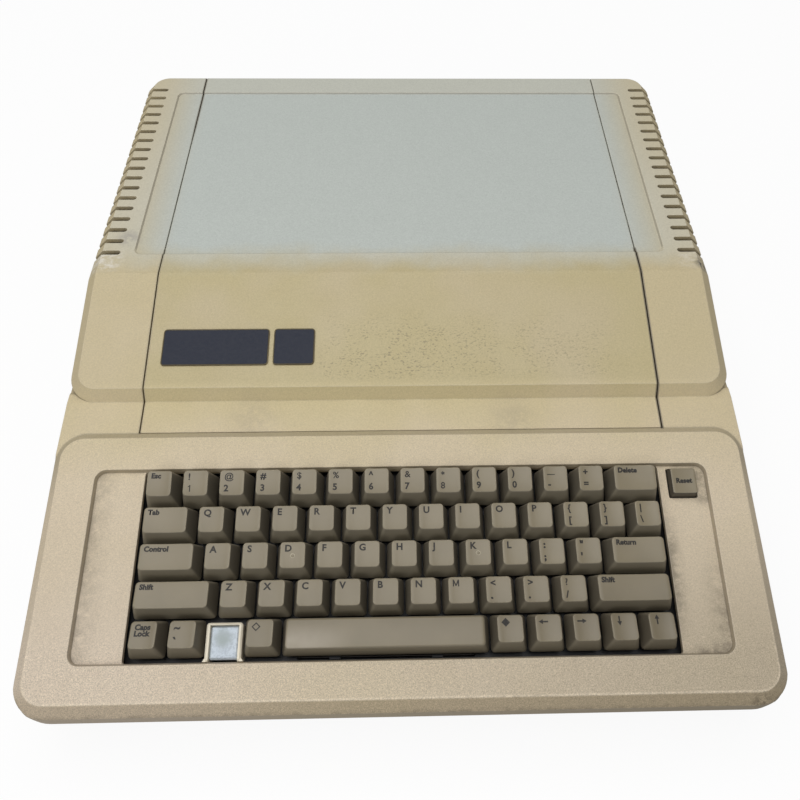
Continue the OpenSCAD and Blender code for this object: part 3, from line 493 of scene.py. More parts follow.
def recess_dirt_and_shade(tree, f, s, colour):
    """Hands leave dirt beside the keys, in the sunk field's corners and round the reset key. Painted shade
    darkens the sunk field's walls.
    """
    sunk = mask(tree, (f.h, -1.6, -2.3), *band(f.u, 16.5, 118.5, 0.8), (f.side, 168, 166.5))
    marks = chain(
        tree, "ADD",
        mask(tree, (f.x, 130, 135), (f.x, 149, 139), *band(f.u, 36, 86, 16)),
        mask(tree, (f.x, 151, 166.5), (f.u, 85, 20), 0.91),
        mask(tree, (f.x, 142, 150), (f.u, 25, 18), 0.84),
        mask(tree, (f.x, -150, -167), 0.55),
        mask(tree, (f.x, 155, 162), *band(f.u, 96, 117, 4), 0.8))
    marks = mask(tree, marks, sunk, (f.smears, 0.28, 0.64), 0.75)
    colour = coat(tree, colour, s.grime_and_shade, chain(tree, "MINIMUM", marks, 0.6))
    # Painted shade on the walls of the sunk field.
    return coat(tree, colour, s.grime_and_shade, (f.leaning, 0.97, 0.8), *band(f.u, 17.2, 118.4, 0.4),
                (f.side, 166.8, 166.2), (f.h, -3.5, -2.7), 0.42)


def speckled(tree, f, s, colour):
    """Brown specks lie in short rows on the slope, mostly right of the badges."""
    specks = add(tree, "TexNoise", {"Vector": f.streaks, "Scale": 1 / (0.9524 * MM), "Detail": 2.0})[0]
    thinning = add(tree, "MapRange", {0: f.x, 1: -30, 2: 100, 3: 0.55, 4: 0.3})[0]
    return coat(tree, colour, s.grime_and_shade, (specks, 0.56, 0.65), thinning, (f.x, -53, -44), (f.x, 140, 110),
                (f.y, -61, -54), (f.y, -10, -34), (f.patches, 0.32, 0.52))


def scraped(tree, f, s, colour):
    """White scrapes, a dark knock and a grey rub mark the front ends of the vent rails."""
    scrapes = add(tree, "TexNoise", {"Vector": f.streaks, "Scale": 1 / (3.846 * MM), "Detail": 5.0,
                                     "Roughness": 0.7})[0]
    colour = coat(tree, colour, "#efebe2", (scrapes, 0.4, 0.62), *band(f.side, 172, 200, 4),
                  *band(f.y, 13.5, 29, 4), (f.x, -100, 100, 0.6, 0.25), (f.z, 100, 106))
    knock = spot(tree, f.x, f.y, (186.5, 17.5), 7.5)
    colour = coat(tree, colour, "#57554f", knock, (f.smears, 0.38, 0.52), (f.z, 98, 104))
    rub = spot(tree, f.x, f.y, (-170.5, 42), 11)
    return coat(tree, colour, "#8f8a8c", rub, (f.z, 100, 106), (f.smears, 0.35, 0.6), 0.5)


def shaded_seams(tree, f, colour):
    """Painted shade fills the lid's seams, the right one most."""
    right = mask(tree, *band(f.y, -87.5, 32, 0.5), (f.x, -100, 100, 0.3, 0.9))
    left_rear = mask(tree, (f.y, 130, 170), (f.x, 100, -100), 0.7)
    dust_and_shade = chain(tree, "MAXIMUM", right, left_rear)
    return coat(tree, colour, "#554c3c", (off(tree, f.side, SEAM_X), 1.3, 0.6), dust_and_shade)


def case_plastic(s):
    """ABS moulded in a spark-eroded tool: satin, finely grained, uneven from age and light, with painted
    shade and painted highlights in its colour.
    """
    material, tree = blank_material("moulded_abs_case")
    f = CaseFields(tree)
    colour = age_and_falloff(tree, f, s)
    for wear in (covered_and_step_shade, bevel_wear_and_shade, recess_dirt_and_shade, speckled, scraped):
        colour = wear(tree, f, s, colour)

    # Dirt and painted shade darken the corners, the underside of the lip and the walls of the sunk fields.
    hollow = add(tree, "AmbientOcclusion", {"Distance": 5 * MM}, samples=6, only_local=True)["AO"]
    colour = coat(tree, colour, s.grime_and_shade, (hollow, 0.92, 0.45), (f.patches, 0.3, 0.6), 0.6)
    colour = shaded_seams(tree, f, colour)

    # Painted highlight: edges are paler.
    rounded, same = rounded_edges(tree, f.normal, 0.9)
    colour = coat(tree, colour, "#efe4cc", (same, 0.998, 0.93), (hollow, 0.8, 0.97), 0.4)

    # The tool's texture is finer than this; it is drawn just coarse enough to show, most on the deck.
    grain, pits = (add(tree, "TexNoise", {"Vector": f.place, "Scale": fineness / s.grain, "Detail": 2.0})[0]
                   for fineness in (1.0, 1.7))
    on_deck_top = mask(tree, (f.u, 146, 137), (f.leaning, 0.2, 0.5), (f.u, 40, 12, 0.38, 1.05))
    pitted = mask(tree, chain(tree, "SUBTRACT", pits, 0.5), chain(tree, "ADD", on_deck_top, 0.18))
    shade = add(tree, "MapRange", {0: grain, 1: 0.25, 2: 0.75, 3: 0.92, 4: 1.08})[0]
    colour = coat(tree, colour, chain(tree, "ADD", pitted, shade), 1.0, blend="MULTIPLY")
    bump = add(tree, "Bump", {"Height": grain, "Distance": 0.08 * MM, "Strength": 0.5,
                              "Normal": rounded})[0]
    return finish_material(material, colour, mask(tree, (f.patches, 0.3, 0.7, 0.5, 0.62)), bump, IOR=1.54)


def moulded_plastic(name, code, roughness=0.5, grain=0.6):
    """Plain injection-moulded plastic: one colour, a little uneven, with a fine skin."""
    material, tree = blank_material(name)
    place = add(tree, "TexCoord")["Object"]
    cloud = add(tree, "TexNoise", {"Vector": place, "Scale": 1 / (16.67 * MM), "Detail": 3.0})[0]
    colour = uneven(tree, code, cloud, 0.3, 0.7, 0.92, 1.08)
    skin = add(tree, "TexNoise", {"Vector": place, "Scale": 1 / (grain * MM), "Detail": 1.0})[0]
    rounded = add(tree, "Bevel", {"Radius": 0.3 * MM}, samples=4)[0]
    bump = add(tree, "Bump", {"Height": skin, "Distance": 0.03 * MM, "Strength": 0.4, "Normal": rounded})[0]
    return finish_material(material, colour, roughness, bump, IOR=1.5)


def sheet_metal(name, code, roughness=0.38, tint=None):
    """Plated sheet steel: faint rolling lines, cloudy zinc and a soft sheen."""
    material, tree = blank_material(name)
    place = add(tree, "TexCoord")["Object"]
    cloud = add(tree, "TexVoronoi", {"Vector": place, "Scale": 1 / (14.29 * MM)})["Distance"]
    colour = uneven(tree, code, cloud, 0.0, 0.8, 0.88, 1.06)
    if tint:
        film = add(tree, "TexNoise", {"Vector": place, "Scale": 1 / (71.43 * MM), "Detail": 2.0})[0]
        colour = coat(tree, colour, tint, (film, 0.4, 0.65))
    rolled = add(tree, "Mapping", {"Vector": place, "Scale": (1.0, 0.02, 1.0)})[0]
    lines = add(tree, "TexNoise", {"Vector": rolled, "Scale": 1 / (0.6667 * MM), "Detail": 2.0})[0]
    bump = add(tree, "Bump", {"Height": lines, "Distance": 0.01 * MM, "Strength": 0.5})[0]
    sheen = mask(tree, (cloud, 0.0, 0.8, roughness - 0.06, roughness + 0.1))
    return finish_material(material, colour, sheen, bump, Metallic=1.0)


def circuit_board():
    """Glass-epoxy board under green solder mask: raised copper runs show as paler lines."""
    material, tree = blank_material("solder_masked_board")
    place = add(tree, "TexCoord")["Object"]
    turned = add(tree, "Mapping", {"Vector": place, "Rotation": (0.0, 0.0, math.pi / 2)})[0]
    runs = [
        add(tree, "TexBrick", {"Vector": vector, "Scale": 1.0, "Mortar Size": width * MM,
                               "Mortar Smooth": 0.1, "Brick Width": run * MM, "Row Height": gap * MM},
            offset=offset)["Fac"]
        for vector, width, run, gap, offset in ((place, 0.5, 18, 3.2, 0.37), (turned, 0.4, 31, 5.1, 0.61))]
    copper = chain(tree, "MAXIMUM", *runs)
    colour = coat(tree, "#1f5a38", "#3f8a58", copper)
    bump = add(tree, "Bump", {"Height": copper, "Distance": 0.04 * MM, "Strength": 0.6})[0]
    return finish_material(material, colour, 0.35, bump, IOR=1.5)


def key_plastic(s):
    """Moulded ABS cap: a fine satin skin that fingers have polished on top, with painted shade darkening
    the skirts and painted highlights along the rims.
    """
    material, tree = blank_material("moulded_key_cap")
    place = add(tree, "TexCoord")["Object"]
    x, y, _ = in_mm(tree, place)
    normal = add(tree, "NewGeometry")["Normal"]
    sideways, _, upward = add(tree, "SeparateXYZ", {0: normal})
    cloud = add(tree, "TexNoise", {"Vector": place, "Scale": 1 / (18.18 * MM), "Detail": 3.0})[0]
    colour = uneven(tree, s.colour, cloud, 0.3, 0.7, 0.94, 1.05)

    # Painted shade: the skirts are dark, most on the left and right and beside the well's right wall.
    colour = coat(tree, colour, "#7e7a70", (upward, 0.9, 0.72), 0.42)
    colour = coat(tree, colour, "#2c2721", (off(tree, sideways, 0.0), 0.6, 0.93), 0.5)
    colour = coat(tree, colour, "#2c2721", (x, 139, 141), (upward, 0.93, 0.75), 0.72)

    # The front rows are darker, and painted shade darkens the front right, where the light falls off.
    front_darkening = chain(tree, "ADD", mask(tree, (y, -160, -195), 0.16),
                     mask(tree, (x, 20, 140), (y, -140, -190), 0.16))
    colour = coat(tree, colour, "#4c4230", front_darkening)
    # Painted reflection: the space bar's left end is paler.
    colour = coat(tree, colour, "#d3c8b8", (x, -63.1, -62.2), (x, -22, -52), (y, -190, -200),
                  (upward, 0.6, 0.9), (cloud, 0.2, 0.6, 0.5, 1.0), 0.34)
    # Painted highlight along the rims of the caps.
    _, same = rounded_edges(tree, normal, 0.7)
    colour = coat(tree, colour, "#cfc6ab", (same, 0.997, 0.94), (upward, 0.35, 0.7), 0.65)
    skin = add(tree, "TexNoise", {"Vector": place, "Scale": 1 / (0.4545 * MM), "Detail": 1.0})[0]
    bump = add(tree, "Bump", {"Height": skin, "Distance": 0.02 * MM, "Strength": 0.35})[0]
    return finish_material(material, colour, mask(tree, (upward, 0.8, 0.97, 0.55, 0.36)), bump, IOR=1.54)


def printed_ink(colour):
    """Ink sunk into the cap's plastic: dark, matt, slightly worn."""
    material, tree = blank_material("printed_legend")
    place = add(tree, "TexCoord")["Object"]
    wear = add(tree, "TexNoise", {"Vector": place, "Scale": 1 / (1.111 * MM), "Detail": 1.0})[0]
    tone = coat(tree, colour, "#6a6254", (wear, 0.5, 0.75, 0.0, 0.18))
    return finish_material(material, tone, 0.55, IOR=1.5)


def badge_face():
    """Dark lacquer under a clear film: smooth, bluish, faintly dusty."""
    material, tree = blank_material("lacquered_badge")
    place = add(tree, "TexCoord")["Object"]
    dust_and_shade = add(tree, "TexNoise", {"Vector": place, "Scale": 1 / (1.25 * MM), "Detail": 2.0})[0]
    colour = coat(tree, "#1a2031", "#343a49", (dust_and_shade, 0.55, 0.8, 0.0, 0.4))
    return finish_material(material, colour, mask(tree, (dust_and_shade, 0.4, 0.7, 0.34, 0.46)), IOR=1.32)


def milky_lens():
    """Milky acrylic over a lamp that is off: bluish white, with the lamp's grey body showing through."""
    material, tree = blank_material("milky_acrylic_lens")
    place = add(tree, "TexCoord")["Object"]
    low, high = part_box("power_lamp")
    centre = (Vector(low) + Vector(high)) / 2
    body = Vector((centre.x - 0.8 * MM, centre.y + 0.8 * MM, high[2]))
    away = add(tree, "VectorMath", {0: place, 1: body}, operation="DISTANCE")["Value"]
    cloud = add(tree, "TexNoise", {"Vector": place, "Scale": 1 / (2.632 * MM), "Detail": 3.0})[0]
    wave = chain(tree, "ADD", away, mask(tree, cloud, 3 * MM))
    smudge = add(tree, "TexNoise", {"Vector": place, "Scale": 1 / (1.613 * MM), "Detail": 4.0,
                                    "Roughness": 0.7})[0]
    milk = coat(tree, "#ccd6e0", "#b2bdc8", (smudge, 0.42, 0.66))
    colour = coat(tree, milk, "#a4afb0", (wave, 8.5 * MM, 3 * MM))
    return finish_material(material, colour, 0.28, IOR=1.49, Subsurface_Weight=0.15,
                           Subsurface_Radius=(2 * MM,) * 3)


# ---- key caps ----
def cap_kind(row, units):
    return "reset" if row == RESET_ROW else "bar" if units > BAR_UNITS else "key"


def cap_size(row, units, s):
    """Width and depth of a cap at its foot, the width of its top and the height of the top's middle."""
    rise = (FRONT_RISE[row] + REAR_RISE[row]) / 2
    if row == RESET_ROW:
        return *RESET_BASE, RESET_TOP_W, rise
    width = units * KEY_PITCH - KEY_GAP
    return width, KEY_DEPTH, width - (KEY_DEPTH - s.top / MM), rise


def shape_top(cap, row, units, s):
    """Draws a block's top in, tilts it and sinks its dish, column by column, in edit mode."""
    base_w, base_d, top_w, rise = cap_size(row, units, s)
    kind = cap_kind(row, units)
    top_d, shift, corner, _ = CAP_FORMS[kind]
    tilt = (REAR_RISE[row] - FRONT_RISE[row]) / top_d
    depth = {"key": 1, "bar": 0, "reset": 0.5}[kind] * s.dish / MM
    inner = (top_w / 2 - corner - 0.3) * base_w / top_w
    steps = 6
    for i in range(steps + 1):
        bpy.ops.mesh.select_all(action="SELECT")
        bpy.ops.mesh.bisect(plane_co=((2 * i / steps - 1) * inner * MM, 0, 0), plane_no=(1, 0, 0))
    pick(cap, "VERT", lambda p: p.z > rise * MM - TINY)
    bpy.ops.transform.resize(value=(top_w / base_w, top_d / base_d, 1), center_override=(0, 0, rise * MM))
    bpy.ops.transform.translate(value=(0, shift * MM, 0))
    bpy.ops.mesh.select_all(action="DESELECT")
    bpy.ops.object.mode_set(mode="OBJECT")
    top = [v.co for v in cap.data.vertices if v.co.z > rise * MM - TINY]
    columns = sorted({(round(p.x, 6), p.y > shift * MM) for p in top})
    bpy.ops.object.mode_set(mode="EDIT")
    for x, rear in columns:
        pick(cap, "VERT", lambda p: p.z > (rise - 2) * MM and abs(p.x - x) < 10 * TINY
             and (p.y > shift * MM) == rear)
        across = x / MM / (top_w / 2)
        sink = depth * (1 - across * across)
        bpy.ops.transform.translate(value=(0, 0, ((top_d / 2 if rear else -top_d / 2) * tilt - sink) * MM))


def bar_hooks():
    """The space bar's two hooks for its wire, each under a rib that runs up into the cap."""
    parts = []
    for side in (-HOOK_X, HOOK_X):
        hook = block("hook", (side - 1.5, 1.8, -9.5), (side + 1.5, 8.2, -0.5))
        slot = block("slot", (side - 3, 2.4, -9.3), (side + 3, 7.6, -7.0))
        apply_modifier(hook, "BOOLEAN", object=slot, operation="DIFFERENCE", solver="EXACT")
        bpy.data.objects.remove(slot)
        parts += [hook, block("rib", (side - 1.5, 1.8, -1), (side + 1.5, 6.4, 4.3))]
    return parts


def cap_shape(row, units, s):
    """One hollow key cap round its own middle: dished top, round corners, soft rim, stem below."""
    base_w, base_d, top_w, rise = cap_size(row, units, s)
    _, _, corner, edge = CAP_FORMS[cap_kind(row, units)]
    cap = block("cap_shape", (-base_w / 2, -base_d / 2, SKIRT_H), (base_w / 2, base_d / 2, rise))
    only(cap)
    bpy.ops.object.mode_set(mode="EDIT")
    shape_top(cap, row, units, s)
    pick(cap, "EDGE", lambda a, b: abs(a.z - b.z) > 3 * MM
         and min(abs(a.x), abs(b.x)) > top_w / 2 * MM - 10 * TINY)
    bpy.ops.mesh.bevel(offset=corner * MM, segments=4, affect="EDGES", clamp_overlap=True)
    pick(cap, "FACE", lambda c, n: n.z > 0.85)
    bpy.ops.mesh.region_to_loop()
    bpy.ops.mesh.bevel(offset=edge * MM, segments=3, affect="EDGES", clamp_overlap=True)
    pick(cap, "FACE", lambda c, n: n.z < -0.9)
    bpy.ops.mesh.delete(type="FACE")
    bpy.ops.mesh.select_all(action="SELECT")
    bpy.ops.mesh.remove_doubles(threshold=TINY)
    bpy.ops.mesh.normals_make_consistent(inside=False)
    bpy.ops.object.mode_set(mode="OBJECT")
    apply_modifier(cap, "SOLIDIFY", thickness=CAP_WALL * MM, offset=-1)
    only(cap)
    bpy.ops.object.shade_smooth_by_angle(angle=math.radians(32))
    stem = block("stem", (-2, -2, STEM_TIP_H), (2, 2, rise - 1.6))
    soften(stem, 0.3)
    return join("cap_shape", [cap, stem] + (bar_hooks() if units > BAR_UNITS else []))


def diamond(size, full):
    """A flat diamond, or only its outline."""
    fill = "NGON" if full else "NOTHING"
    bpy.ops.mesh.primitive_circle_add(vertices=4, radius=0.5 * size, fill_type=fill)
    made = bpy.context.object
    if not full:
        bpy.ops.object.mode_set(mode="EDIT")
        bpy.ops.mesh.select_all(action="SELECT")
        bpy.ops.mesh.extrude_edges_move()
        bpy.ops.transform.resize(value=(0.66, 0.66, 1), center_override=(0, 0, 0))
        bpy.ops.object.mode_set(mode="OBJECT")
    return made


def arrow(size, degrees):
    """A flat arrow that points so many degrees round from +X."""
    bpy.ops.mesh.primitive_plane_add(size=1, location=(-0.1 * size, 0, 0))
    shaft = bpy.context.object
    shaft.scale = (0.8 * size, 0.17 * size, 1)
    bpy.ops.object.transform_apply()
    bpy.ops.object.select_all(action="DESELECT")
    bpy.ops.mesh.primitive_circle_add(vertices=3, radius=0.32 * size, fill_type="NGON",
                                      location=(0.26 * size, 0, 0), rotation=(0, 0, -math.pi / 2))
    head = bpy.context.object
    bpy.ops.object.transform_apply()
    made = join("arrow", [shaft, head])
    settle(made, Matrix.Rotation(math.radians(degrees), 4, "Z"))
    return made


# Signs drawn as straight strokes, since the built-in font has them too plain, too small or broken. For each
# stroke, its middle across and along, its width and length in capital heights, and its turn in radians.
STROKES = {
    "1": ((0.36, 0.5, 0.15, 1.0, 0.0), (0.225, 0.82, 0.13, 0.36, -0.85)),
    "*": ((0.36, 0.55, 0.13, 0.62, 0.0), (0.36, 0.55, 0.13, 0.62, 1.05), (0.36, 0.55, 0.13, 0.62, -1.05)),
    "_": ((0.55, 0.12, 1.25, 0.12, 0.0),),
    "M": ((0.1, 0.5, 0.18, 1.0, 0.0), (0.85, 0.5, 0.18, 1.0, 0.0),
          (0.29, 0.54, 0.17, 0.95, 0.395), (0.66, 0.54, 0.17, 0.95, -0.395)),
}


def stroke_sign(text, height):
    """One sign joined from its straight strokes."""
    strokes = []
    for across, along, width, run, turn in STROKES[text]:
        bpy.ops.object.select_all(action="DESELECT")
        bpy.ops.mesh.primitive_plane_add(size=1, location=(across * height, along * height, 0),
                                         rotation=(0, 0, turn))
        stroke = bpy.context.object
        stroke.scale = (width * height, run * height, 1)
        bpy.ops.object.transform_apply()
        strokes.append(stroke)
    return join("stroke_sign", strokes)


def written(text, height, is_word):
    """A letter, sign or word in the built-in font, made a mesh."""
    bpy.ops.object.text_add()
    made = bpy.context.object
    made.data.body = text
    made.data.size = height / FONT_CAPITAL
    made.data.shear = 0.03 if is_word else 0
    bold = 0.056 if is_word or text in "`~'\".,:;" else 0.02 if text in "?$@&%8" else 0.035
    made.data.offset = bold * made.data.size
    made.data.space_character = 1.03 if is_word else 1
    made.data.resolution_u = 3
    bpy.ops.object.convert(target="MESH")
    return bpy.context.object


def legend_shape(text, s):
    """The outline of one legend, lying flat; a written one has its lower left corner at the origin."""
    bpy.ops.object.select_all(action="DESELECT")
    if text.endswith("diamond"):
        return diamond(SIGN_SIZE * MM, text.startswith("full"))
    if text in ARROW_TURNS:
        return arrow(SIGN_SIZE * MM, ARROW_TURNS[text])
    if text in STROKES:
        return stroke_sign(text, s.letter)
    is_word = len(text) > 1
    return written(text, s.word if is_word else s.letter, is_word)


def home_dot():
    """The raised dot of a home key, its foot inside the cap's top."""
    bpy.ops.object.select_all(action="DESELECT")
    bpy.ops.mesh.primitive_cylinder_add(vertices=20, radius=0.9 * MM, depth=0.9 * MM,
                                        location=Vector((0, 0.4, 5.75)) * MM)
    dot = bpy.context.object
    bpy.ops.object.transform_apply()
    soften(dot, 0.3)
    dress(dot, bpy.data.materials["moulded_key_cap"])
    return dot


def legend_place(i, texts, width, top_w, s):
    """Where a cap's legend i goes: upper left, a second below the first; the reset key's in the middle."""
    text = texts[i]
    is_sign = text.endswith("diamond") or text in ARROW_TURNS
    is_word = len(text) > 1 and not is_sign
    left = -top_w / 2 + (2.0 if is_word else 2.25)
    if is_sign:
        return left + 2.0, TOP_REAR - 3.6, LEGEND_LIFT
    if text == "Reset":
        return -width / 2, -1.1, LEGEND_LIFT
    height = (s.word if is_word else s.letter) / MM
    margin = 1.5 if len(texts) == 2 else 1.25 if is_word else 1.4
    line = 3.1 if is_word else 6.3
    return left, TOP_REAR - margin - height - i * line, LEGEND_LIFT


def print_legends(cap, texts, top_w, s):
    """Lays a key's legends on its dished top and adds the home keys' dots."""
    made = []
    for i, text in enumerate(texts):
        shape = legend_shape(text, s)
        place = legend_place(i, texts, shape.dimensions.x / MM, top_w, s)
        settle(shape, Matrix.Translation(Vector(place) * MM))
        apply_modifier(shape, "SHRINKWRAP", target=cap, wrap_method="PROJECT", wrap_mode="ABOVE_SURFACE",
                       use_project_z=True, use_negative_direction=True, use_positive_direction=False,
                       offset=0.03 * MM)
        dress(shape, bpy.data.materials["printed_legend"])
        made.append(shape)
    if texts in (("D",), ("K",)):
        made.append(home_dot())
    return made


class COMPUTER_OT_key_caps(bpy.types.Operator):
    """Makes all key caps with their legends, one piece for each bank of the frame"""
    bl_idname = "computer.key_caps"
    bl_label = "Key caps"

    def execute(self, context):
        s = context.scene.computer_keys
        plastic = key_plastic(s)
        printed_ink(s.legend)
        shapes = {}
        banks = {}
        for row, keys in KEY_ROWS:
            for node, first, units, texts in keys:
                if (row, units) not in shapes:
                    shape = cap_shape(row, units, s)
                    dress(shape, plastic)
                    shapes[row, units] = shape
                cap = copy_of(shapes[row, units], "cap")
                _, _, top_w, _ = cap_size(row, units, s)
                whole = join("key", [cap] + print_legends(cap, texts, top_w, s))
                place = Matrix.Translation(on_deck(key_x(first, units), row_u(row), 0))
                settle(whole, place @ Matrix.Rotation(DECK_SLOPE, 4, "X"))
                banks.setdefault(node, []).append(whole)
        for shape in shapes.values():
            bpy.data.objects.remove(shape)
        for node, caps in banks.items():
            bank = join(node + "_caps", caps)
            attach(bank, node)
            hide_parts(node)
        return {"FINISHED"}


# ---- badges and lamp ----
# The plates' left and right edges, their front and rear edges up the slope, their height and their rim's
# width, in millimetres.
BADGES = (("name_plate", -138.5, -77.3), ("model_plate", -74.6, -50.9))
BADGE_FRONT, BADGE_REAR = 13.6, 36.9
BADGE_TOP = 0.78
BADGE_RIM = 0.55


class COMPUTER_OT_badges(bpy.types.Operator):
    """Makes the two bare badge plates with their thin metal rims"""
    bl_idname = "computer.badges"
    bl_label = "Badge plates"

    def execute(self, context):
        face, rim = badge_face(), sheet_metal("bronzed_rim", "#5c5442", 0.45)
        lip_z = CASE_HEIGHT - (CREASE_Y - BLOCK_Y) * math.tan(BLOCK_SLOPE)
        lip = Vector((0, BLOCK_Y - CASE_DEPTH / 2, lip_z))
        place = Matrix.Translation(lip * MM) @ Matrix.Rotation(BLOCK_SLOPE, 4, "X")
        for node, x1, x2 in BADGES:
            plate = block(node + "_badge", (x1, BADGE_FRONT, 0), (x2, BADGE_REAR, BADGE_TOP))
            only(plate)
            bpy.ops.object.mode_set(mode="EDIT")
            pick(plate, "EDGE", lambda a, b: abs(a.z - b.z) > 0.5 * MM)
            bpy.ops.mesh.bevel(offset=2 * MM, segments=5, affect="EDGES")
            pick(plate, "FACE", lambda c, n: n.z > 0.9)
            bpy.ops.mesh.inset(thickness=BADGE_RIM * MM, depth=0)
            bpy.ops.mesh.inset(thickness=0.1 * MM, depth=-0.12 * MM)
            bpy.ops.object.mode_set(mode="OBJECT")
            plate.data.materials.append(rim)
            plate.data.materials.append(face)
            for f in plate.data.polygons:
                if f.normal.z > 0.9 and len(f.vertices) > 8:
                    f.material_index = 1
            apply_modifier(plate, "BEVEL", width=0.12 * MM, segments=2, limit_method="ANGLE",
                           angle_limit=math.radians(50))
            settle(plate, place)
            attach(plate, "lid")
            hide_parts(node)
        return {"FINISHED"}


class COMPUTER_OT_power_lamp(bpy.types.Operator):
    """Finishes the power lamp's lens and its pale frame"""
    bl_idname = "computer.power_lamp"
    bl_label = "Power lamp"

    def execute(self, context):
        dress_nodes(milky_lens(), "power_lamp")
        dress_nodes(moulded_plastic("moulded_lamp_frame", "#efe5cf", 0.5), "lamp_frame")
        return {"FINISHED"}


# ---- case, base and inner parts ----
class COMPUTER_OT_case(bpy.types.Operator):
    """Gives the upper case and the lid their grained plastic, yellowed with age, with painted shade and
    highlights
    """
    bl_idname = "computer.case"
    bl_label = "Case and lid"

    def execute(self, context):
        dress_nodes(case_plastic(context.scene.computer_case), "upper_case", "lid")
        return {"FINISHED"}


class COMPUTER_OT_metalwork(bpy.types.Operator):
    """Finishes base plate, rear panel, screws, supply case, wire and connector shells"""
    bl_idname = "computer.metalwork"
    bl_label = "Metal parts"

    def execute(self, context):
        dress_nodes(sheet_metal("zinc_plated_sheet", "#b4b6b6"), "base_plate", "rear_panel", "game_port")
        dress_nodes(sheet_metal("zinc_plated_screw", "#a2a39f", 0.3), "case_screws")
        dress_nodes(sheet_metal("chromated_sheet", "#c8b987", 0.4, "#b7a26a"), "power_supply_case")
        dress_nodes(sheet_metal("drawn_spring_wire", "#4c4a47", 0.4), "space_bar_wire")
        dress_nodes(sheet_metal("nickel_plated_brass", "#cdbf94", 0.28), "video_jack")
        dress_nodes(moulded_plastic("black_painted_sheet", "#232325", 0.45, 0.5), "keyboard_plate")
        dress_nodes(moulded_plastic("black_painted_frame", "#2b2b2d", 0.5), "speaker")
        return {"FINISHED"}


class COMPUTER_OT_boards(bpy.types.Operator):
    """Finishes the boards and what stands on them"""
    bl_idname = "computer.boards"
    bl_label = "Boards"

    def execute(self, context):
        dress_nodes(circuit_board(), "motherboard", "keyboard_board")
        dress_nodes(moulded_plastic("moulded_epoxy_chip", "#1d1d1f", 0.55, 0.3), "logic_chips")
        dress_nodes(moulded_plastic("moulded_card_socket", "#2c3b33", 0.5), "expansion_slots")
        dress_nodes(moulded_plastic("moulded_long_socket", "#35503d", 0.5), "auxiliary_slot")
        dress_nodes(moulded_plastic("natural_nylon", "#e2ddcd", 0.4), "board_standoffs", "lid_catches")
        dress_nodes(moulded_plastic("moulded_switch_housing", "#1b1a1a", 0.5), "key_switches")
        dress_nodes(moulded_plastic("flat_ribbon_cable", "#9fa2a6", 0.45), "keyboard_cable")
        dress_nodes(moulded_plastic("sleeved_harness", "#77787c", 0.5), "power_harness")
        return {"FINISHED"}


class COMPUTER_OT_rear_fittings(bpy.types.Operator):
    """Finishes the mouldings at the rear and the feet"""
    bl_idname = "computer.rear_fittings"
    bl_label = "Rear fittings and feet"

    def execute(self, context):
        dress_nodes(moulded_plastic("moulded_cover", "#c2b698", 0.5), "blanking_covers")
        dress_nodes(moulded_plastic("black_socket_moulding", "#19191a", 0.4),
                    "mains_inlet", "cassette_jacks")
        dress_nodes(moulded_plastic("glossy_rocker", "#161617", 0.22, 0.8), "power_switch")
        dress_nodes(moulded_plastic("moulded_rubber", "#1f1f1e", 0.75, 0.5), "feet")
        return {"FINISHED"}


# ---- stage ----
# The camera: its place in millimetres, its yaw, pitch and roll in radians, the picture's size and the point
# where the lens looks straight ahead in pixels, and the sensor's width in millimetres. Lamps are in metres.
CAMERA_PLACE = (-0.5, -361.4, 478.7)
CAMERA_TURNS = (0.0456787, 0.876768, 0.0265284)
PICTURE = 800
OPTICAL_CENTRE = (426.495, 358.435)
SENSOR = 36
LAMP_TARGET = Vector((0, 0, 0.05))


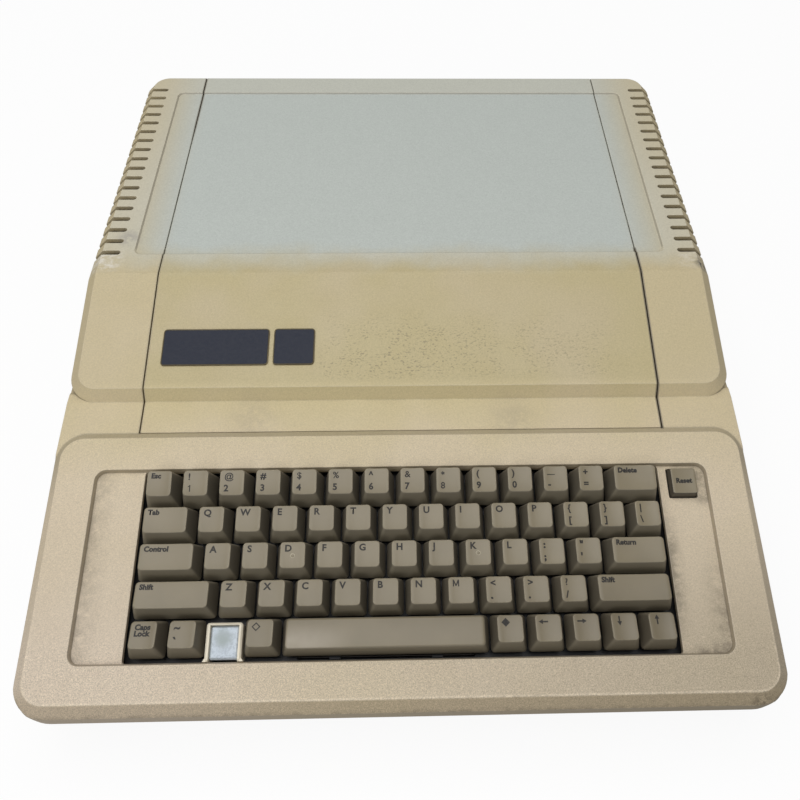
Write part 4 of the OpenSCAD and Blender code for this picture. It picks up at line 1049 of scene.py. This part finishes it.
class COMPUTER_OT_stage(bpy.types.Operator):
    """Makes floor, background, lamps and camera"""
    bl_idname = "computer.stage"
    bl_label = "Stage"

    def execute(self, context):
        s = context.scene.computer_stage
        scene = context.scene
        scene.view_settings.view_transform = "Standard"

        world = bpy.data.worlds.new("studio")
        scene.world = world
        world.use_nodes = True
        tree = world.node_tree
        tree.nodes.clear()
        path = add(tree, "LightPath")
        seen = chain(tree, "MAXIMUM", path["Is Camera Ray"], path["Is Transmission Ray"])
        strength = add(tree, "MapRange", {0: seen, 3: s.fill, 4: 1.0})[0]
        backdrop = add(tree, "Background", {0: (1.0, 1.0, 1.0, 1.0), 1: strength})[0]
        add(tree, "OutputWorld", {0: backdrop})

        bpy.ops.object.select_all(action="DESELECT")
        bpy.ops.mesh.primitive_plane_add(size=9, location=(0, 0, 0))
        floor = context.object
        floor.name = "floor"
        material, tree = blank_material("pale_floor")
        path = add(tree, "LightPath")
        matt = add(tree, "BsdfDiffuse", {0: coat(tree, "#a0a0a0", s.backdrop, path["Is Camera Ray"])})[0]
        glow = add(tree, "Emission", {0: s.backdrop, 1: 1.0})[0]
        mixed = add(tree, "MixShader", {0: mask(tree, path["Is Camera Ray"], 0.92), 1: matt, 2: glow})[0]
        add(tree, "OutputMaterial", {0: mixed})
        dress(floor, material)

        for name, place, size, power in (("main_lamp", (-0.2, 0.0, 1.8), 1.6, s.key_power),
                                         ("front_lamp", (-0.6, -1.3, 1.0), 0.8, s.front_power)):
            data = bpy.data.lights.new(name, "AREA")
            data.shape = "SQUARE"
            data.size = size
            data.energy = power
            lamp = bpy.data.objects.new(name, data)
            scene.collection.objects.link(lamp)
            lamp.location = place
            lamp.rotation_euler = (LAMP_TARGET - Vector(place)).to_track_quat("-Z", "Y").to_euler()

        yaw, pitch, roll = CAMERA_TURNS
        ahead = Vector((math.sin(yaw) * math.cos(pitch), math.cos(yaw) * math.cos(pitch), -math.sin(pitch)))
        level = Vector((math.cos(yaw), -math.sin(yaw), 0))
        upright = level.cross(ahead)
        right = math.cos(roll) * level + math.sin(roll) * upright
        up = -math.sin(roll) * level + math.cos(roll) * upright
        data = bpy.data.cameras.new("camera")
        data.sensor_width = SENSOR
        data.lens = s.lens / PICTURE * SENSOR
        data.shift_x = 0.5 - OPTICAL_CENTRE[0] / PICTURE
        data.shift_y = OPTICAL_CENTRE[1] / PICTURE - 0.5
        camera = bpy.data.objects.new("camera", data)
        scene.collection.objects.link(camera)
        turn = Matrix((right, up, -ahead)).transposed().to_4x4()
        camera.matrix_world = Matrix.Translation(Vector(CAMERA_PLACE) * MM) @ turn
        scene.camera = camera
        return {"FINISHED"}


class COMPUTER_PT_panel(bpy.types.Panel):
    """Lists the steps of the build"""
    bl_idname = "COMPUTER_PT_panel"
    bl_label = "Home computer"
    bl_space_type = "VIEW_3D"
    bl_region_type = "UI"
    bl_category = "Computer"

    def draw(self, context):
        scene = context.scene
        for title, group in (("Case", scene.computer_case), ("Keys", scene.computer_keys),
                             ("Stage", scene.computer_stage)):
            box = self.layout.box()
            box.label(text=title)
            for name in group.bl_rna.properties.keys():
                if name not in ("rna_type", "name"):
                    box.prop(group, name)
        for step in STEPS:
            self.layout.operator(step.bl_idname)


STEPS = (COMPUTER_OT_stage, COMPUTER_OT_case, COMPUTER_OT_metalwork, COMPUTER_OT_boards,
         COMPUTER_OT_rear_fittings, COMPUTER_OT_badges, COMPUTER_OT_power_lamp, COMPUTER_OT_key_caps)
GROUPS = (("computer_case", CaseFinish), ("computer_keys", KeyFinish), ("computer_stage", StageSetting))


def register():
    for name, group in GROUPS:
        bpy.utils.register_class(group)
        setattr(bpy.types.Scene, name, bpy.props.PointerProperty(type=group))
    for made in STEPS + (COMPUTER_PT_panel,):
        bpy.utils.register_class(made)


def unregister():
    for made in (COMPUTER_PT_panel,) + STEPS[::-1]:
        bpy.utils.unregister_class(made)
    for name, group in GROUPS[::-1]:
        delattr(bpy.types.Scene, name)
        bpy.utils.unregister_class(group)


def main():
    register()
    for step in STEPS:
        area, name = step.bl_idname.split(".")
        getattr(getattr(bpy.ops, area), name)()


if __name__ == "__main__":
    main()
